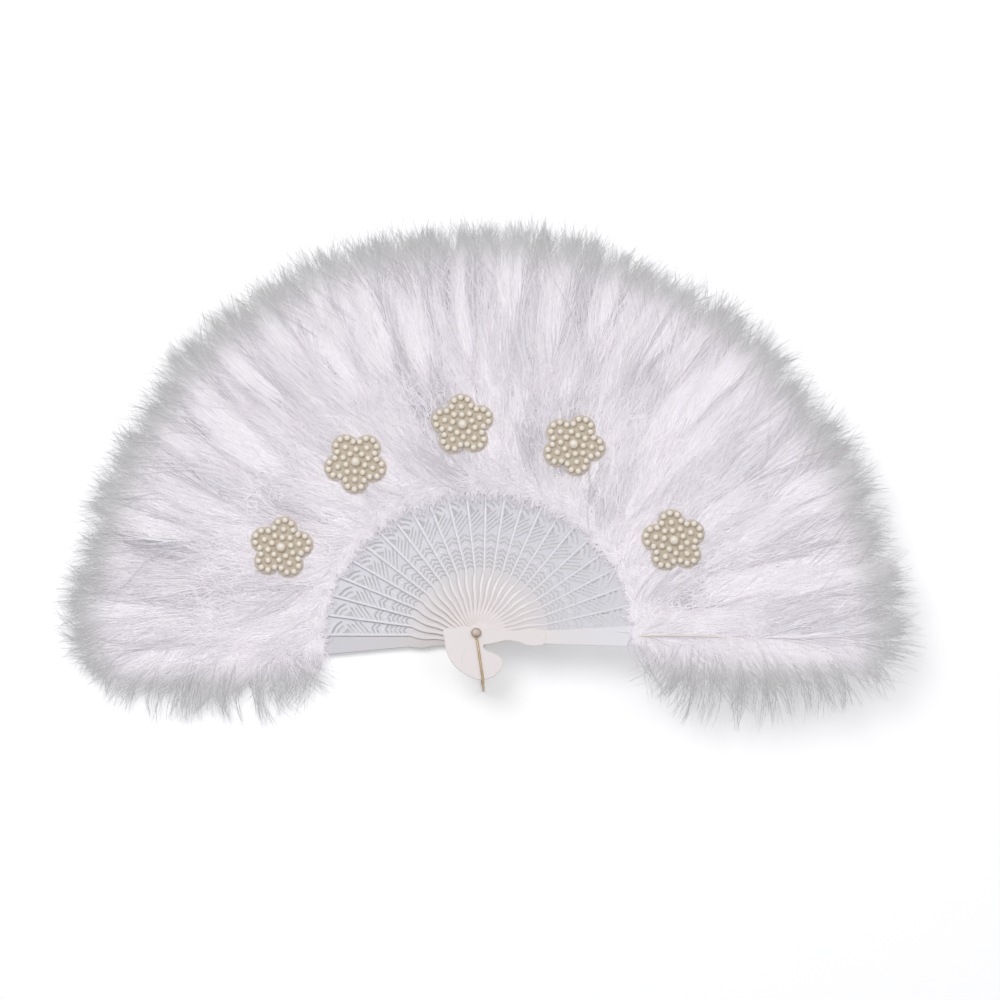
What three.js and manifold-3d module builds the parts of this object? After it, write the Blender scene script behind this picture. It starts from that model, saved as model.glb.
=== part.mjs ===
// A folding feather fan, lying open on its back, in millimetres.
// The rivet's axis is +Z and its lower end is the origin. The middle stick points along +Y.
// The front guard lies to the right, on top, and each stick to its left lies one layer lower.
import * as THREE from "three";
import { mergeVertices } from "three/addons/utils/BufferGeometryUtils.js";
import Module from "manifold-3d";

const wasm = await Module();
wasm.setup();

// The spread of the open fan, in degrees
const stick_count = 23;
const spread_angle = 182;
const front_angle = -1;

// Layers: each stick has a flat layer of its own, so the fan folds with nothing in the way
const stick_thick = 0.75;
const layer_gap = 0.1;
const slip_thick = 0.3;
const glue_gap = 0.1;
const guard_thick = 1.1;
const guard_rise = 0.3;

// The rivet, and the wire bail that swings on its two ends
const rivet_radius = 1;
const rivet_clearance = 0.16;
const rivet_head_radius = 1.9;
const rivet_head_thick = 0.7;
const rivet_dome_height = 0.9;
const wire_diameter = 1;
const wire_clearance = 0.6;
const bail_eye_wall = 1.3;
const bail_corner = 1;
const bail_angle = 278;
const rivet_sides = 10;
const wire_sides = 8;
const bail_corner_steps = 3;

// A stick: the round pivot end, the bowed gorge, the pierced blade and the slip under the feather
const stick_head_radius = 4.2;
const stick_head_open_angle = 62;
const gorge_length = 30;
const gorge_width = 3.8;
const gorge_bend = 1.5;
const blade_length = 40;
const blade_tip_width = 11;
const blade_bulge = 1.2;
const slip_length = 11.5;
const slip_width = 4.6;
const slip_root = 0.8;
const gorge_place_shares = [0.12, 0.45, 0.62, 0.76, 0.9, 1];
const gorge_centre_shares = [0.2, 0.5, 0.7, 0.9, 1, 1];
const gorge_width_shares = [1.1, 1, 1.15, 1.6, 1.6, 1.28];
const slip_tip_share = 0.6;
const stick_head_steps = 6;
const gorge_steps = 5;
const blade_end_steps = 2;

// The lace: slots across the blade, a square eyelet, a triangle under a chevron, and two arcs
const slot_height = 1.5;
const eyelet_side = 1.9;
const chevron_width = 0.8;
const arc_width = 0.75;
const lace_rim = 1.15;
const lace_shift = 0.5;
const slot_place_shares = [0.07, 0.18, 0.43, 0.54];
const eyelet_place_share = 0.31;
const triangle_place_shares = [0.64, 0.745];
const chevron_place_share = 0.735;
const chevron_rise_share = 0.75;
const chevron_span_share = 0.86;
const arc_place_shares = [0.86, 0.925];
const arc_rise_share = 0.22;
const arc_steps = 3;

// A guard: the same gorge and blade, wider and plain, with a comma-shaped head below the pivot
const guard_gorge_width = 4.7;
const guard_tip_width = 9.6;
const head_reach = 21.3;
const head_top_shares = [
  [0.014, 0.117],
  [-0.254, 0.146],
  [-0.469, 0.103],
  [-0.676, 0.059],
];
const head_round_shares = [
  [-0.676, 0.059],
  [-0.657, -0.16],
  [-0.606, -0.408],
  [-0.418, -0.714],
  [-0.066, -0.925],
  [0.122, -0.991],
  [0.286, -0.948],
  [0.531, -0.751],
  [0.568, -0.615],
  [0.446, -0.446],
  [0.192, -0.338],
  [0.164, -0.258],
];
const head_top_steps = 4;
const head_round_steps = 17;

// A feather: a thin vane on both sides of a ridged quill, split along its edges
const feather_length = 118;
const feather_start_gap = 0.5;
const vane_half_width = 14;
const vane_edge_thick = 0.15;
const vane_sweep_share = 0.3;
const vane_place_shares = [0, 0.05, 0.2, 0.4, 0.42, 0.58, 0.7, 0.72, 0.84, 0.86, 0.95, 1];
const vane_width_shares = [0.38, 0.52, 0.62, 0.78, 0.66, 0.88, 1, 0.84, 0.96, 0.78, 0.62, 0.14];

// The guard feathers' broad lower vane
const broad_half_width = 36;
const broad_width_shares = [0.1, 0.34, 0.82, 1, 0.88, 0.94, 0.76, 0.64, 0.52, 0.4, 0.22, 0.04];

// The pearl blossoms: felt petals edged with pearls, glued to one feather and lying over the next
const blossom_sticks = [3, 8, 12, 16, 20];
const petal_count = 5;
const petal_radius = 6.4;
const petal_ring_radius = 8.3;
const felt_thick = 0.6;
const pearl_radius = 1.6;
const pearl_sink = 1.4;
const heart_radius = 1.6;
const foot_clearance = 1;
const blossom_clearance = 1.3;
const petal_steps = 3;
const foot_sides = 6;

// Places worked out from the sizes above
const stick_pitch = stick_thick + layer_gap;
const step_angle = spread_angle / (stick_count + 1);
const hole_clear_radius = rivet_radius + rivet_clearance;
const blade_end = gorge_length + blade_length;
const slip_end = blade_end + slip_length;
const blade_root_width = gorge_width * gorge_width_shares.at(-1);
const feather_start = blade_end + blade_bulge + feather_start_gap;
const feather_thick = stick_thick - slip_thick - glue_gap;
const guard_slip_thick = guard_thick - feather_thick - glue_gap;
const petal_reach = petal_ring_radius + petal_radius;
const blossom_place = slip_end + blossom_clearance + petal_reach;
const bail_reach = head_reach + wire_clearance + wire_diameter / 2;
const lower_eye_bottom = rivet_head_thick + layer_gap;
const back_guard_bottom = lower_eye_bottom + wire_diameter + layer_gap;
const lowest_stick_bottom = back_guard_bottom + guard_rise + guard_thick + layer_gap;
const front_guard_bottom = lowest_stick_bottom + stick_count * stick_pitch;
const upper_eye_bottom = front_guard_bottom + guard_thick + guard_rise + layer_gap;
const upper_head_bottom = upper_eye_bottom + wire_diameter + layer_gap;

// Materials
const ivory_plastic = new THREE.MeshStandardMaterial({ color: 0xd9d3d6, roughness: 0.35 });
const guard_plastic = new THREE.MeshStandardMaterial({ color: 0xd6cfcb, roughness: 0.3 });
const white_feather = new THREE.MeshStandardMaterial({ color: 0xf2f0f2, roughness: 0.95 });
const brass = new THREE.MeshStandardMaterial({ color: 0x9a7a45, roughness: 0.3, metalness: 1 });
const pearl = new THREE.MeshStandardMaterial({ color: 0xeee4d2, roughness: 0.2 });

function radians(degrees) {
  return THREE.MathUtils.degToRad(degrees);
}

// A closed three.js geometry as a solid that can be joined and cut
function solidOf(geometry) {
  const bare = geometry.clone();
  bare.deleteAttribute("normal");
  bare.deleteAttribute("uv");
  const merged = mergeVertices(bare);
  const vertProperties = new Float32Array(merged.attributes.position.array);
  const triVerts = new Uint32Array(merged.index.array);
  return new wasm.Manifold(new wasm.Mesh({ numProp: 3, vertProperties, triVerts }));
}

function geometryOf(solid) {
  const mesh = solid.getMesh();
  const geometry = new THREE.BufferGeometry();
  geometry.setAttribute("position", new THREE.BufferAttribute(mesh.vertProperties, 3));
  geometry.setIndex(new THREE.BufferAttribute(mesh.triVerts, 1));
  geometry.computeVertexNormals();
  return geometry;
}

function joined(first, ...others) {
  return geometryOf(others.reduce((sum, next) => sum.add(solidOf(next)), solidOf(first)));
}

// A flat piece with the given outline and holes, between two heights
function plate(outline, holes, bottom, top) {
  const shape = new THREE.Shape(outline);
  shape.holes = holes.map((hole) => new THREE.Path(hole));
  const geometry = new THREE.ExtrudeGeometry(shape, { depth: top - bottom, bevelEnabled: false });
  return geometry.translate(0, 0, bottom);
}

// Points on a circle's arc, from one angle to another
function arcPoints(x, y, radius, start, end, steps) {
  return Array.from({ length: steps + 1 }, (_, i) => {
    const angle = start + ((end - start) * i) / steps;
    return new THREE.Vector2(x + radius * Math.cos(angle), y + radius * Math.sin(angle));
  });
}

// A regular polygon whose flats touch the given circle
function roundHole(clear_radius, sides) {
  const corner_radius = clear_radius / Math.cos(Math.PI / sides);
  return arcPoints(0, 0, corner_radius, 0, 2 * Math.PI, sides).slice(0, -1);
}

// The gorge's edge on one side (1 or -1), from the pivot end out to the blade
function gorgeEdge(width, side) {
  const through = gorge_place_shares.map((place_share, i) => {
    const centre = -gorge_bend * gorge_centre_shares[i];
    const half = (width * gorge_width_shares[i]) / 2;
    return new THREE.Vector2(gorge_length * place_share, centre + side * half);
  });
  return new THREE.SplineCurve(through).getPoints(gorge_steps);
}

// The blade's middle line leans back from the gorge's bend to the stick's own line at its outer end
function bladeCentre(place_share) {
  return -gorge_bend * (1 - place_share);
}

function bladeWidth(place_share) {
  return THREE.MathUtils.lerp(blade_root_width, blade_tip_width, place_share);
}

// The rounded outer end of a blade, from its right edge to its left edge
function bladeEnd(width) {
  return Array.from({ length: blade_end_steps + 1 }, (_, i) => {
    const across = (2 * i) / blade_end_steps - 1;
    return new THREE.Vector2(blade_end + blade_bulge * (1 - across * across), (across * width) / 2);
  });
}

function stickOutline() {
  const right = gorgeEdge(gorge_width, -1);
  const left = gorgeEdge(gorge_width, 1).reverse();
  const start = radians(stick_head_open_angle);
  const head = arcPoints(0, 0, stick_head_radius, start, 2 * Math.PI - start, stick_head_steps);
  return [...right, ...bladeEnd(blade_tip_width), ...left, ...head];
}

// A hole's points, given along the blade as a share of its length and across it in millimetres
function laceHole(points) {
  return points.map(([place_share, across]) => {
    const middle = bladeCentre(place_share) + lace_shift * place_share;
    return new THREE.Vector2(gorge_length + blade_length * place_share, middle + across);
  });
}

function laceHalfWidth(place_share) {
  return bladeWidth(place_share) / 2 - lace_rim;
}

function slotHole(place_share) {
  const half_share = slot_height / blade_length / 2;
  const inner = laceHalfWidth(place_share - half_share);
  const outer = laceHalfWidth(place_share + half_share);
  return laceHole([
    [place_share - half_share, -inner],
    [place_share + half_share, -outer],
    [place_share + half_share, outer],
    [place_share - half_share, inner],
  ]);
}

function eyeletHole() {
  const half_share = eyelet_side / blade_length / 2;
  const half = eyelet_side / 2;
  return laceHole([
    [eyelet_place_share - half_share, -half],
    [eyelet_place_share + half_share, -half],
    [eyelet_place_share + half_share, half],
    [eyelet_place_share - half_share, half],
  ]);
}

function triangleHole() {
  const [base_share, tip_share] = triangle_place_shares;
  const half = laceHalfWidth(base_share) * chevron_rise_share;
  return laceHole([
    [base_share, -half],
    [tip_share, 0],
    [base_share, half],
  ]);
}

function chevronHole(place_share) {
  const thick_share = chevron_width / blade_length;
  const half = laceHalfWidth(place_share) * chevron_span_share;
  const tip_share = place_share + (half * chevron_rise_share) / blade_length;
  return laceHole([
    [place_share, -half],
    [tip_share, 0],
    [place_share, half],
    [place_share + thick_share, half],
    [tip_share + thick_share, 0],
    [place_share + thick_share, -half],
  ]);
}

function arcHole(place_share) {
  const half = laceHalfWidth(place_share);
  const rise_share = (half * arc_rise_share) / blade_length;
  const thick_share = arc_width / blade_length;
  const edge = Array.from({ length: arc_steps + 1 }, (_, i) => {
    const across = (2 * i) / arc_steps - 1;
    return [place_share + rise_share * (1 - across * across), across * half];
  });
  const outer = edge.map(([share, across]) => [share + thick_share, across]).reverse();
  return laceHole([...edge, ...outer]);
}

function laceHoles() {
  return [
    ...slot_place_shares.map(slotHole),
    eyeletHole(),
    triangleHole(),
    chevronHole(chevron_place_share),
    ...arc_place_shares.map(arcHole),
  ];
}

// The plain tongue that carries the feather
function slip(thick) {
  const half = slip_width / 2;
  const tip = half * slip_tip_share;
  const outline = [
    new THREE.Vector2(blade_end - slip_root, -half),
    new THREE.Vector2(slip_end, -tip),
    new THREE.Vector2(slip_end, tip),
    new THREE.Vector2(blade_end - slip_root, half),
  ];
  return plate(outline, [], 0, thick);
}

function stickGeometry() {
  const holes = [roundHole(hole_clear_radius, rivet_sides), ...laceHoles()];
  return joined(plate(stickOutline(), holes, 0, stick_thick), slip(slip_thick));
}

function headPoints(shares) {
  return shares.map(([along_share, across_share]) => {
    return new THREE.Vector2(head_reach * along_share, head_reach * across_share);
  });
}

// A guard's outline out to the end of the gorge, or out to the end of the blade
function guardOutline(with_blade) {
  const right = gorgeEdge(guard_gorge_width, -1);
  const left = gorgeEdge(guard_gorge_width, 1).reverse();
  const top = new THREE.SplineCurve([left.at(-1), ...headPoints(head_top_shares)]);
  const round = new THREE.SplineCurve(headPoints(head_round_shares));
  const head = [...top.getPoints(head_top_steps).slice(1, -1), ...round.getPoints(head_round_steps)];
  const blade = with_blade ? bladeEnd(guard_tip_width) : [];
  return [...right, ...blade, ...left, ...head];
}

// A guard's inner face is at height 0 when it faces down (the front guard) or up (the back guard)
function guardGeometry(faces_up) {
  const hole = [roundHole(hole_clear_radius, rivet_sides)];
  const rise_bottom = faces_up ? guard_thick - guard_rise : -guard_rise;
  const rise_top = faces_up ? guard_thick + guard_rise : guard_rise;
  const body = plate(guardOutline(true), hole, 0, guard_thick);
  const rise = plate(guardOutline(false), hole, rise_bottom, rise_top);
  return joined(body, rise, slip(guard_slip_thick));
}

// One ring of a feather: a flat underside, thin edges and a ridge along the quill
function featherRing(place_share, left_half, right_half) {
  const along = feather_start + feather_length * place_share;
  const room = feather_length * (1 - place_share);
  const left_along = along + Math.min(left_half * vane_sweep_share, room);
  const right_along = along + Math.min(right_half * vane_sweep_share, room);
  return [
    [left_along, left_half, 0],
    [along, 0, 0],
    [right_along, -right_half, 0],
    [right_along, -right_half, vane_edge_thick],
    [along, 0, feather_thick],
    [left_along, left_half, vane_edge_thick],
  ];
}

// Joins rings of equally many points into one closed skin, with a fan of faces over each end
function loft(rings) {
  const count = rings[0].length;
  const index = [];
  rings.slice(1).forEach((_, r) => {
    for (let i = 0; i < count; i += 1) {
      const a = r * count + i;
      const b = r * count + ((i + 1) % count);
      index.push(a, a + count, b);
      index.push(b, a + count, b + count);
    }
  });
  const last = (rings.length - 1) * count;
  for (let i = 1; i < count - 1; i += 1) {
    index.push(0, i, i + 1);
    index.push(last, last + i + 1, last + i);
  }
  const geometry = new THREE.BufferGeometry();
  geometry.setAttribute("position", new THREE.Float32BufferAttribute(rings.flat(2), 3));
  geometry.setIndex(index);
  geometry.computeVertexNormals();
  return geometry;
}

function featherGeometry(left_width, left_shares, right_width, right_shares) {
  return loft(
    vane_place_shares.map((place_share, i) => {
      return featherRing(place_share, left_width * left_shares[i], right_width * right_shares[i]);
    })
  );
}

// How far a common feather reaches to each side of its quill, at a distance from the pivot
function vaneHalfWidth(distance) {
  const place_share = (distance - feather_start) / feather_length;
  const after = vane_place_shares.findIndex((share) => share > place_share);
  const from_share = vane_place_shares[after - 1];
  const along_share = (place_share - from_share) / (vane_place_shares[after] - from_share);
  const from_width = vane_half_width * vane_width_shares[after - 1];
  return THREE.MathUtils.lerp(from_width, vane_half_width * vane_width_shares[after], along_share);
}

function petalOutline() {
  const half_angle = Math.PI / petal_count;
  const half_chord = petal_ring_radius * Math.sin(half_angle);
  const lobe_angle = Math.PI - Math.acos(Math.min(1, half_chord / petal_radius)) - half_angle;
  return Array.from({ length: petal_count }, (_, p) => {
    const turn = 2 * half_angle * p;
    const x = petal_ring_radius * Math.cos(turn);
    const y = petal_ring_radius * Math.sin(turn);
    const lobe = arcPoints(x, y, petal_radius, turn - lobe_angle, turn + lobe_angle, petal_steps);
    return lobe.slice(0, -1);
  }).flat();
}

function pearlBall(radius, x, y, felt_top) {
  const ball = new THREE.IcosahedronGeometry(radius, 0);
  return ball.translate(x, y, felt_top + radius - pearl_sink);
}

function blossomPearls(felt_top) {
  const balls = [pearlBall(heart_radius, 0, 0, felt_top)];
  for (let p = 0; p < petal_count; p += 1) {
    const turn = (2 * Math.PI * p) / petal_count;
    const x = petal_ring_radius * Math.cos(turn);
    const y = petal_ring_radius * Math.sin(turn);
    balls.push(pearlBall(pearl_radius, x, y, felt_top));
  }
  return balls;
}

// The blossom sits half a step to the left of its stick, so its foot has to find its own feather
function blossomFoot(top) {
  const own_middle = blossom_place * Math.tan(radians(step_angle / 2));
  const next_middle = blossom_place * Math.tan(radians(step_angle * 1.5));
  const half_width = vaneHalfWidth(blossom_place);
  const right_side = Math.min(next_middle - half_width, own_middle + half_width) - foot_clearance;
  const left_side = own_middle - half_width + foot_clearance;
  const radius = (right_side - left_side) / 2;
  const outline = roundHole(radius, foot_sides);
  return plate(outline, [], 0, top).translate(0, -(right_side + left_side) / 2, 0);
}

function blossomGeometry() {
  const felt_bottom = stick_pitch;
  const felt_top = felt_bottom + felt_thick;
  const felt = plate(petalOutline(), [], felt_bottom, felt_top);
  const whole = joined(felt, blossomFoot(felt_top), ...blossomPearls(felt_top));
  return whole.translate(blossom_place, 0, stick_thick + layer_gap);
}

function rivetGeometry() {
  const profile = [
    [0, 0],
    [rivet_head_radius, 0],
    [rivet_head_radius, rivet_head_thick],
    [rivet_radius, rivet_head_thick],
    [rivet_radius, upper_head_bottom],
    [rivet_head_radius, upper_head_bottom],
    [rivet_head_radius * Math.cos(Math.PI / 6), upper_head_bottom + rivet_dome_height / 2],
    [rivet_head_radius / 2, upper_head_bottom + rivet_dome_height * Math.cos(Math.PI / 6)],
    [0, upper_head_bottom + rivet_dome_height],
  ];
  const points = profile.map(([x, y]) => new THREE.Vector2(x, y));
  return new THREE.LatheGeometry(points, rivet_sides).rotateX(Math.PI / 2);
}

// A round wire along points in the plane of X and Z
function bentWire(points, radius) {
  return loft(
    points.map((point, i) => {
      const before = points[Math.max(0, i - 1)];
      const after = points[Math.min(points.length - 1, i + 1)];
      const along = after.clone().sub(before).normalize();
      return arcPoints(0, 0, radius, 0, 2 * Math.PI, wire_sides)
        .slice(0, -1)
        .map((corner) => [point.x - along.y * corner.x, corner.y, point.y + along.x * corner.x]);
    })
  );
}

// The bail's wire, from its lower eye out past the guard heads, up, and back to its upper eye
function bailWire(inner, low, high) {
  const bend = bail_reach - bail_corner;
  const right_angle = Math.PI / 2;
  const points = [
    new THREE.Vector2(inner, low),
    ...arcPoints(bend, low + bail_corner, bail_corner, -right_angle, 0, bail_corner_steps),
    ...arcPoints(bend, high - bail_corner, bail_corner, 0, right_angle, bail_corner_steps),
    new THREE.Vector2(inner, high),
  ];
  return bentWire(points, wire_diameter / 2);
}

function bailGeometry() {
  const wire_radius = wire_diameter / 2;
  const eye_middle = hole_clear_radius + bail_eye_wall / 2;
  const eye_outline = roundHole(hole_clear_radius + bail_eye_wall, rivet_sides);
  const eye_hole = [roundHole(hole_clear_radius, rivet_sides)];
  const lower_eye = plate(eye_outline, eye_hole, lower_eye_bottom, lower_eye_bottom + wire_diameter);
  const upper_eye = plate(eye_outline, eye_hole, upper_eye_bottom, upper_eye_bottom + wire_diameter);
  const wire = bailWire(eye_middle, lower_eye_bottom + wire_radius, upper_eye_bottom + wire_radius);
  return joined(lower_eye, wire, upper_eye);
}

function named(name, geometry, material) {
  const mesh = new THREE.Mesh(geometry, material);
  mesh.name = name;
  return mesh;
}

// One stick or guard with what is glued to it, turned about the rivet and set in its layer
function turned(angle, bottom, ...meshes) {
  const blade = new THREE.Group();
  blade.rotation.z = radians(angle);
  blade.position.z = bottom;
  blade.add(...meshes);
  return blade;
}

const fan = new THREE.Group();
fan.add(named("rivet", rivetGeometry(), brass));
fan.add(turned(bail_angle, 0, named("bail", bailGeometry(), brass)));

// The guards, each with a feather whose broad vane hangs below it
const narrow_vane = [vane_half_width, vane_width_shares];
const broad_vane = [broad_half_width, broad_width_shares];
const front_feather = featherGeometry(...narrow_vane, ...broad_vane);
const back_feather = featherGeometry(...broad_vane, ...narrow_vane);
const feather_on_guard = guard_slip_thick + glue_gap;
front_feather.translate(0, 0, feather_on_guard);
back_feather.translate(0, 0, feather_on_guard);
fan.add(
  turned(
    front_angle,
    front_guard_bottom,
    named("guard_front", guardGeometry(true), guard_plastic),
    named("feather_front", front_feather, white_feather)
  )
);
fan.add(
  turned(
    front_angle + spread_angle,
    back_guard_bottom + guard_rise,
    named("guard_back", guardGeometry(false), guard_plastic),
    named("feather_back", back_feather, white_feather)
  )
);

// The inner sticks, counted from the front guard, each with its feather
const stick = stickGeometry();
const feather = featherGeometry(...narrow_vane, ...narrow_vane);
feather.translate(0, 0, slip_thick + glue_gap);
const blossom = blossomGeometry();
for (let k = 1; k <= stick_count; k += 1) {
  const number = String(k).padStart(2, "0");
  const angle = front_angle + step_angle * k;
  const bottom = front_guard_bottom - stick_pitch * k;
  const meshes = [
    named(`stick_${number}`, stick, ivory_plastic),
    named(`feather_${number}`, feather, white_feather),
  ];
  fan.add(turned(angle, bottom, ...meshes));
  const place = blossom_sticks.indexOf(k);
  if (place >= 0) {
    const ornament = named(`blossom_${place + 1}`, blossom, pearl);
    fan.add(turned(angle + step_angle / 2, bottom, ornament));
  }
}

export default fan;
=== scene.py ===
# %% [markdown]
# # A folding feather fan
#
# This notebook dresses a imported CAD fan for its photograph. The frame holds the pieces at their
# real sizes: sticks on a rivet, a guard at each end, a wire bail, feathers and pearl blossoms.
# Every cell below makes one piece or one finish. Lengths are written in millimetres, as a fan
# maker would, and each finished mesh is brought to metres in the last step of its cell.

# %% Load the frame
import math

import bmesh
import bpy
import numpy as np
from mathutils import Matrix, Vector


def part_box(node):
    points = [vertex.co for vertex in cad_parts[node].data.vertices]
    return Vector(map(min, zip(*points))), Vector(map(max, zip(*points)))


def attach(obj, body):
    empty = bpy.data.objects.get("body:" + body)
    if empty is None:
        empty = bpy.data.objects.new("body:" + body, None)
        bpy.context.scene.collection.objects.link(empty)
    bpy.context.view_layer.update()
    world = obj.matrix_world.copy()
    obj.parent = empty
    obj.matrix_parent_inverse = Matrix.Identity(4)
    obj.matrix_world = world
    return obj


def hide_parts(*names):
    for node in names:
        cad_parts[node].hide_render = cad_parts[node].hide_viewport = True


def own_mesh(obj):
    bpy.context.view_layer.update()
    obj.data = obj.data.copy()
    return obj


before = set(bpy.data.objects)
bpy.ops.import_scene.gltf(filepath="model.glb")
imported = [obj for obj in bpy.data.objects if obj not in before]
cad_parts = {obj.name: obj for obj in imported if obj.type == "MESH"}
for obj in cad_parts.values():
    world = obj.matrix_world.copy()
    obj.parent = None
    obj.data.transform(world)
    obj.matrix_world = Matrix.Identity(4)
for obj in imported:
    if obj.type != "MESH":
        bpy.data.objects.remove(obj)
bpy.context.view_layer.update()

MM = 0.001
scene = bpy.context.scene
print("nodes in the frame:", len(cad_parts))

# %% [markdown]
# ## Where the sticks lie
#
# The fan opens over a little more than half a turn. Stick number 0 is the front guard on the right
# and the highest number is the back guard on the left. Each stick lies one flat layer lower than
# the one before it, so a stick's angle and its layer are all that is needed to place what it
# carries. The angles are repeated from the model. The heights are read from the frame.

# %% Angles and layers
STICK_COUNT = 23
SPREAD_ANGLE = 182.0
FRONT_ANGLE = -1.0
STEP_ANGLE = SPREAD_ANGLE / (STICK_COUNT + 1)
STICK_NUMBERS = range(1, STICK_COUNT + 1)


def stick_angle(number):
    return math.radians(FRONT_ANGLE + STEP_ANGLE * number)


def layer_height(node):
    """The height of a node's underside, in millimetres."""
    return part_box(node)[0].z / MM


def placed(angle, height):
    """Takes a mesh made along +X, in millimetres, to its stick's angle and layer, in metres."""
    turn = Matrix.Rotation(angle, 4, "Z")
    lift = Matrix.Translation((0, 0, height))
    return Matrix.Scale(MM, 4) @ lift @ turn


print("step between sticks: %.2f degrees" % STEP_ANGLE)

# %% [markdown]
# ## The camera and the light
#
# The photograph looks at the open fan from slightly below its pivot, so the stack of guards shows
# its edge at the lower left. A long lens from far off keeps the half circle round. A soft lamp over
# the left shoulder draws the shade between the locks of feather, a weaker one fills in from the
# right, and a pale world lights what is left. The camera sees that world as white.

# %% Camera
CAMERA_TILT = 77.0
CAMERA_DISTANCE = 1500.0
FRAME_WIDTH = 450.0
SENSOR_WIDTH = 36.0
CLIP_END = 20
AIM_POINT = Vector((10.5, 63.2, 12.0))


def make_camera():
    data = bpy.data.cameras.new("fan_camera")
    data.sensor_width = SENSOR_WIDTH
    data.sensor_fit = "HORIZONTAL"
    data.lens = SENSOR_WIDTH * CAMERA_DISTANCE / FRAME_WIDTH
    data.clip_end = CLIP_END
    camera = bpy.data.objects.new("fan_camera", data)
    tilt = math.radians(CAMERA_TILT)
    away = Vector((0, -math.cos(tilt), math.sin(tilt)))
    camera.location = (AIM_POINT + away * CAMERA_DISTANCE) * MM
    camera.rotation_euler = (-away).to_track_quat("-Z", "Y").to_euler()
    scene.collection.objects.link(camera)
    scene.camera = camera
    return camera


camera = make_camera()
print("lens: %.0f mm" % camera.data.lens)
scene.view_settings.view_transform = "Standard"

# %% Lamps and world
LAMP_DISTANCE = 1.1
ROOM_COLOUR = (0.95, 0.96, 1.0, 1)
ROOM_STRENGTH = 0.42
WHITE = (1, 1, 1, 1)


def make_lamp(name, direction, size, power):
    data = bpy.data.lights.new(name, "AREA")
    data.shape = "DISK"
    data.size = size
    data.energy = power
    lamp = bpy.data.objects.new(name, data)
    toward = Vector(direction).normalized()
    lamp.location = AIM_POINT * MM + toward * LAMP_DISTANCE
    lamp.rotation_euler = (-toward).to_track_quat("-Z", "Y").to_euler()
    scene.collection.objects.link(lamp)
    return lamp


def seen_by_camera(tree):
    """1 for rays from the camera and for what shows in gloss or glass, and 0 for all others."""
    path = tree.nodes.new("ShaderNodeLightPath")
    seen = path.outputs["Is Camera Ray"]
    for ray in ("Is Glossy Ray", "Is Transmission Ray"):
        either = tree.nodes.new("ShaderNodeMath")
        either.operation = "MAXIMUM"
        tree.links.new(seen, either.inputs[0])
        tree.links.new(path.outputs[ray], either.inputs[1])
        seen = either.outputs[0]
    return seen


def make_world():
    """A dim room that lights the fan, which the camera sees as white."""
    world = bpy.data.worlds.new("pale_room")
    world.use_nodes = True
    tree = world.node_tree
    tree.nodes.clear()
    mix = tree.nodes.new("ShaderNodeMixShader")
    tree.links.new(seen_by_camera(tree), mix.inputs["Fac"])
    for socket, colour, strength in ((1, ROOM_COLOUR, ROOM_STRENGTH), (2, WHITE, 1.0)):
        background = tree.nodes.new("ShaderNodeBackground")
        background.inputs["Color"].default_value = colour
        background.inputs["Strength"].default_value = strength
        tree.links.new(background.outputs[0], mix.inputs[socket])
    out = tree.nodes.new("ShaderNodeOutputWorld")
    tree.links.new(mix.outputs[0], out.inputs["Surface"])
    scene.world = world


make_world()
make_lamp("left_softbox", direction=(-0.36, 0.28, 1.0), size=0.7, power=5.0)
make_lamp("right_fill", direction=(0.55, 0.1, 1.0), size=0.9, power=2.2)
print("lamps:", [light.name for light in bpy.data.lights])

# %% [markdown]
# ## Shared effects
#
# Two effects come back in several finishes. A mottle shifts a colour a little from place to place,
# as every dyed or moulded thing does. A grain roughens the surface in light only. Each is a node
# group, built once, and each material sets its own scale and strength.

# %% Node groups
def new_group(name, inputs, outputs):
    group = bpy.data.node_groups.new(name, "ShaderNodeTree")
    for label, kind, value in inputs:
        socket = group.interface.new_socket(name=label, in_out="INPUT", socket_type=kind)
        socket.default_value = value
    for label, kind in outputs:
        group.interface.new_socket(name=label, in_out="OUTPUT", socket_type=kind)
    entry = group.nodes.new("NodeGroupInput")
    leave = group.nodes.new("NodeGroupOutput")
    return group, entry, leave


def mottle_group():
    group, entry, leave = new_group(
        "soft_mottle",
        [
            ("Color", "NodeSocketColor", (1, 1, 1, 1)),
            ("Stain", "NodeSocketColor", (0.8, 0.8, 0.8, 1)),
            ("Scale", "NodeSocketFloat", 60.0),
            ("Amount", "NodeSocketFloat", 0.3),
        ],
        [("Color", "NodeSocketColor")],
    )
    place = group.nodes.new("ShaderNodeTexCoord")
    noise = group.nodes.new("ShaderNodeTexNoise")
    noise.inputs["Detail"].default_value = 3.0
    share = group.nodes.new("ShaderNodeMath")
    share.operation = "MULTIPLY"
    mix = group.nodes.new("ShaderNodeMix")
    mix.data_type = "RGBA"
    links = group.links
    links.new(place.outputs["Object"], noise.inputs["Vector"])
    links.new(entry.outputs["Scale"], noise.inputs["Scale"])
    links.new(noise.outputs["Fac"], share.inputs[0])
    links.new(entry.outputs["Amount"], share.inputs[1])
    links.new(share.outputs[0], mix.inputs["Factor"])
    links.new(entry.outputs["Color"], mix.inputs[6])
    links.new(entry.outputs["Stain"], mix.inputs[7])
    links.new(mix.outputs[2], leave.inputs["Color"])
    return group


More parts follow.
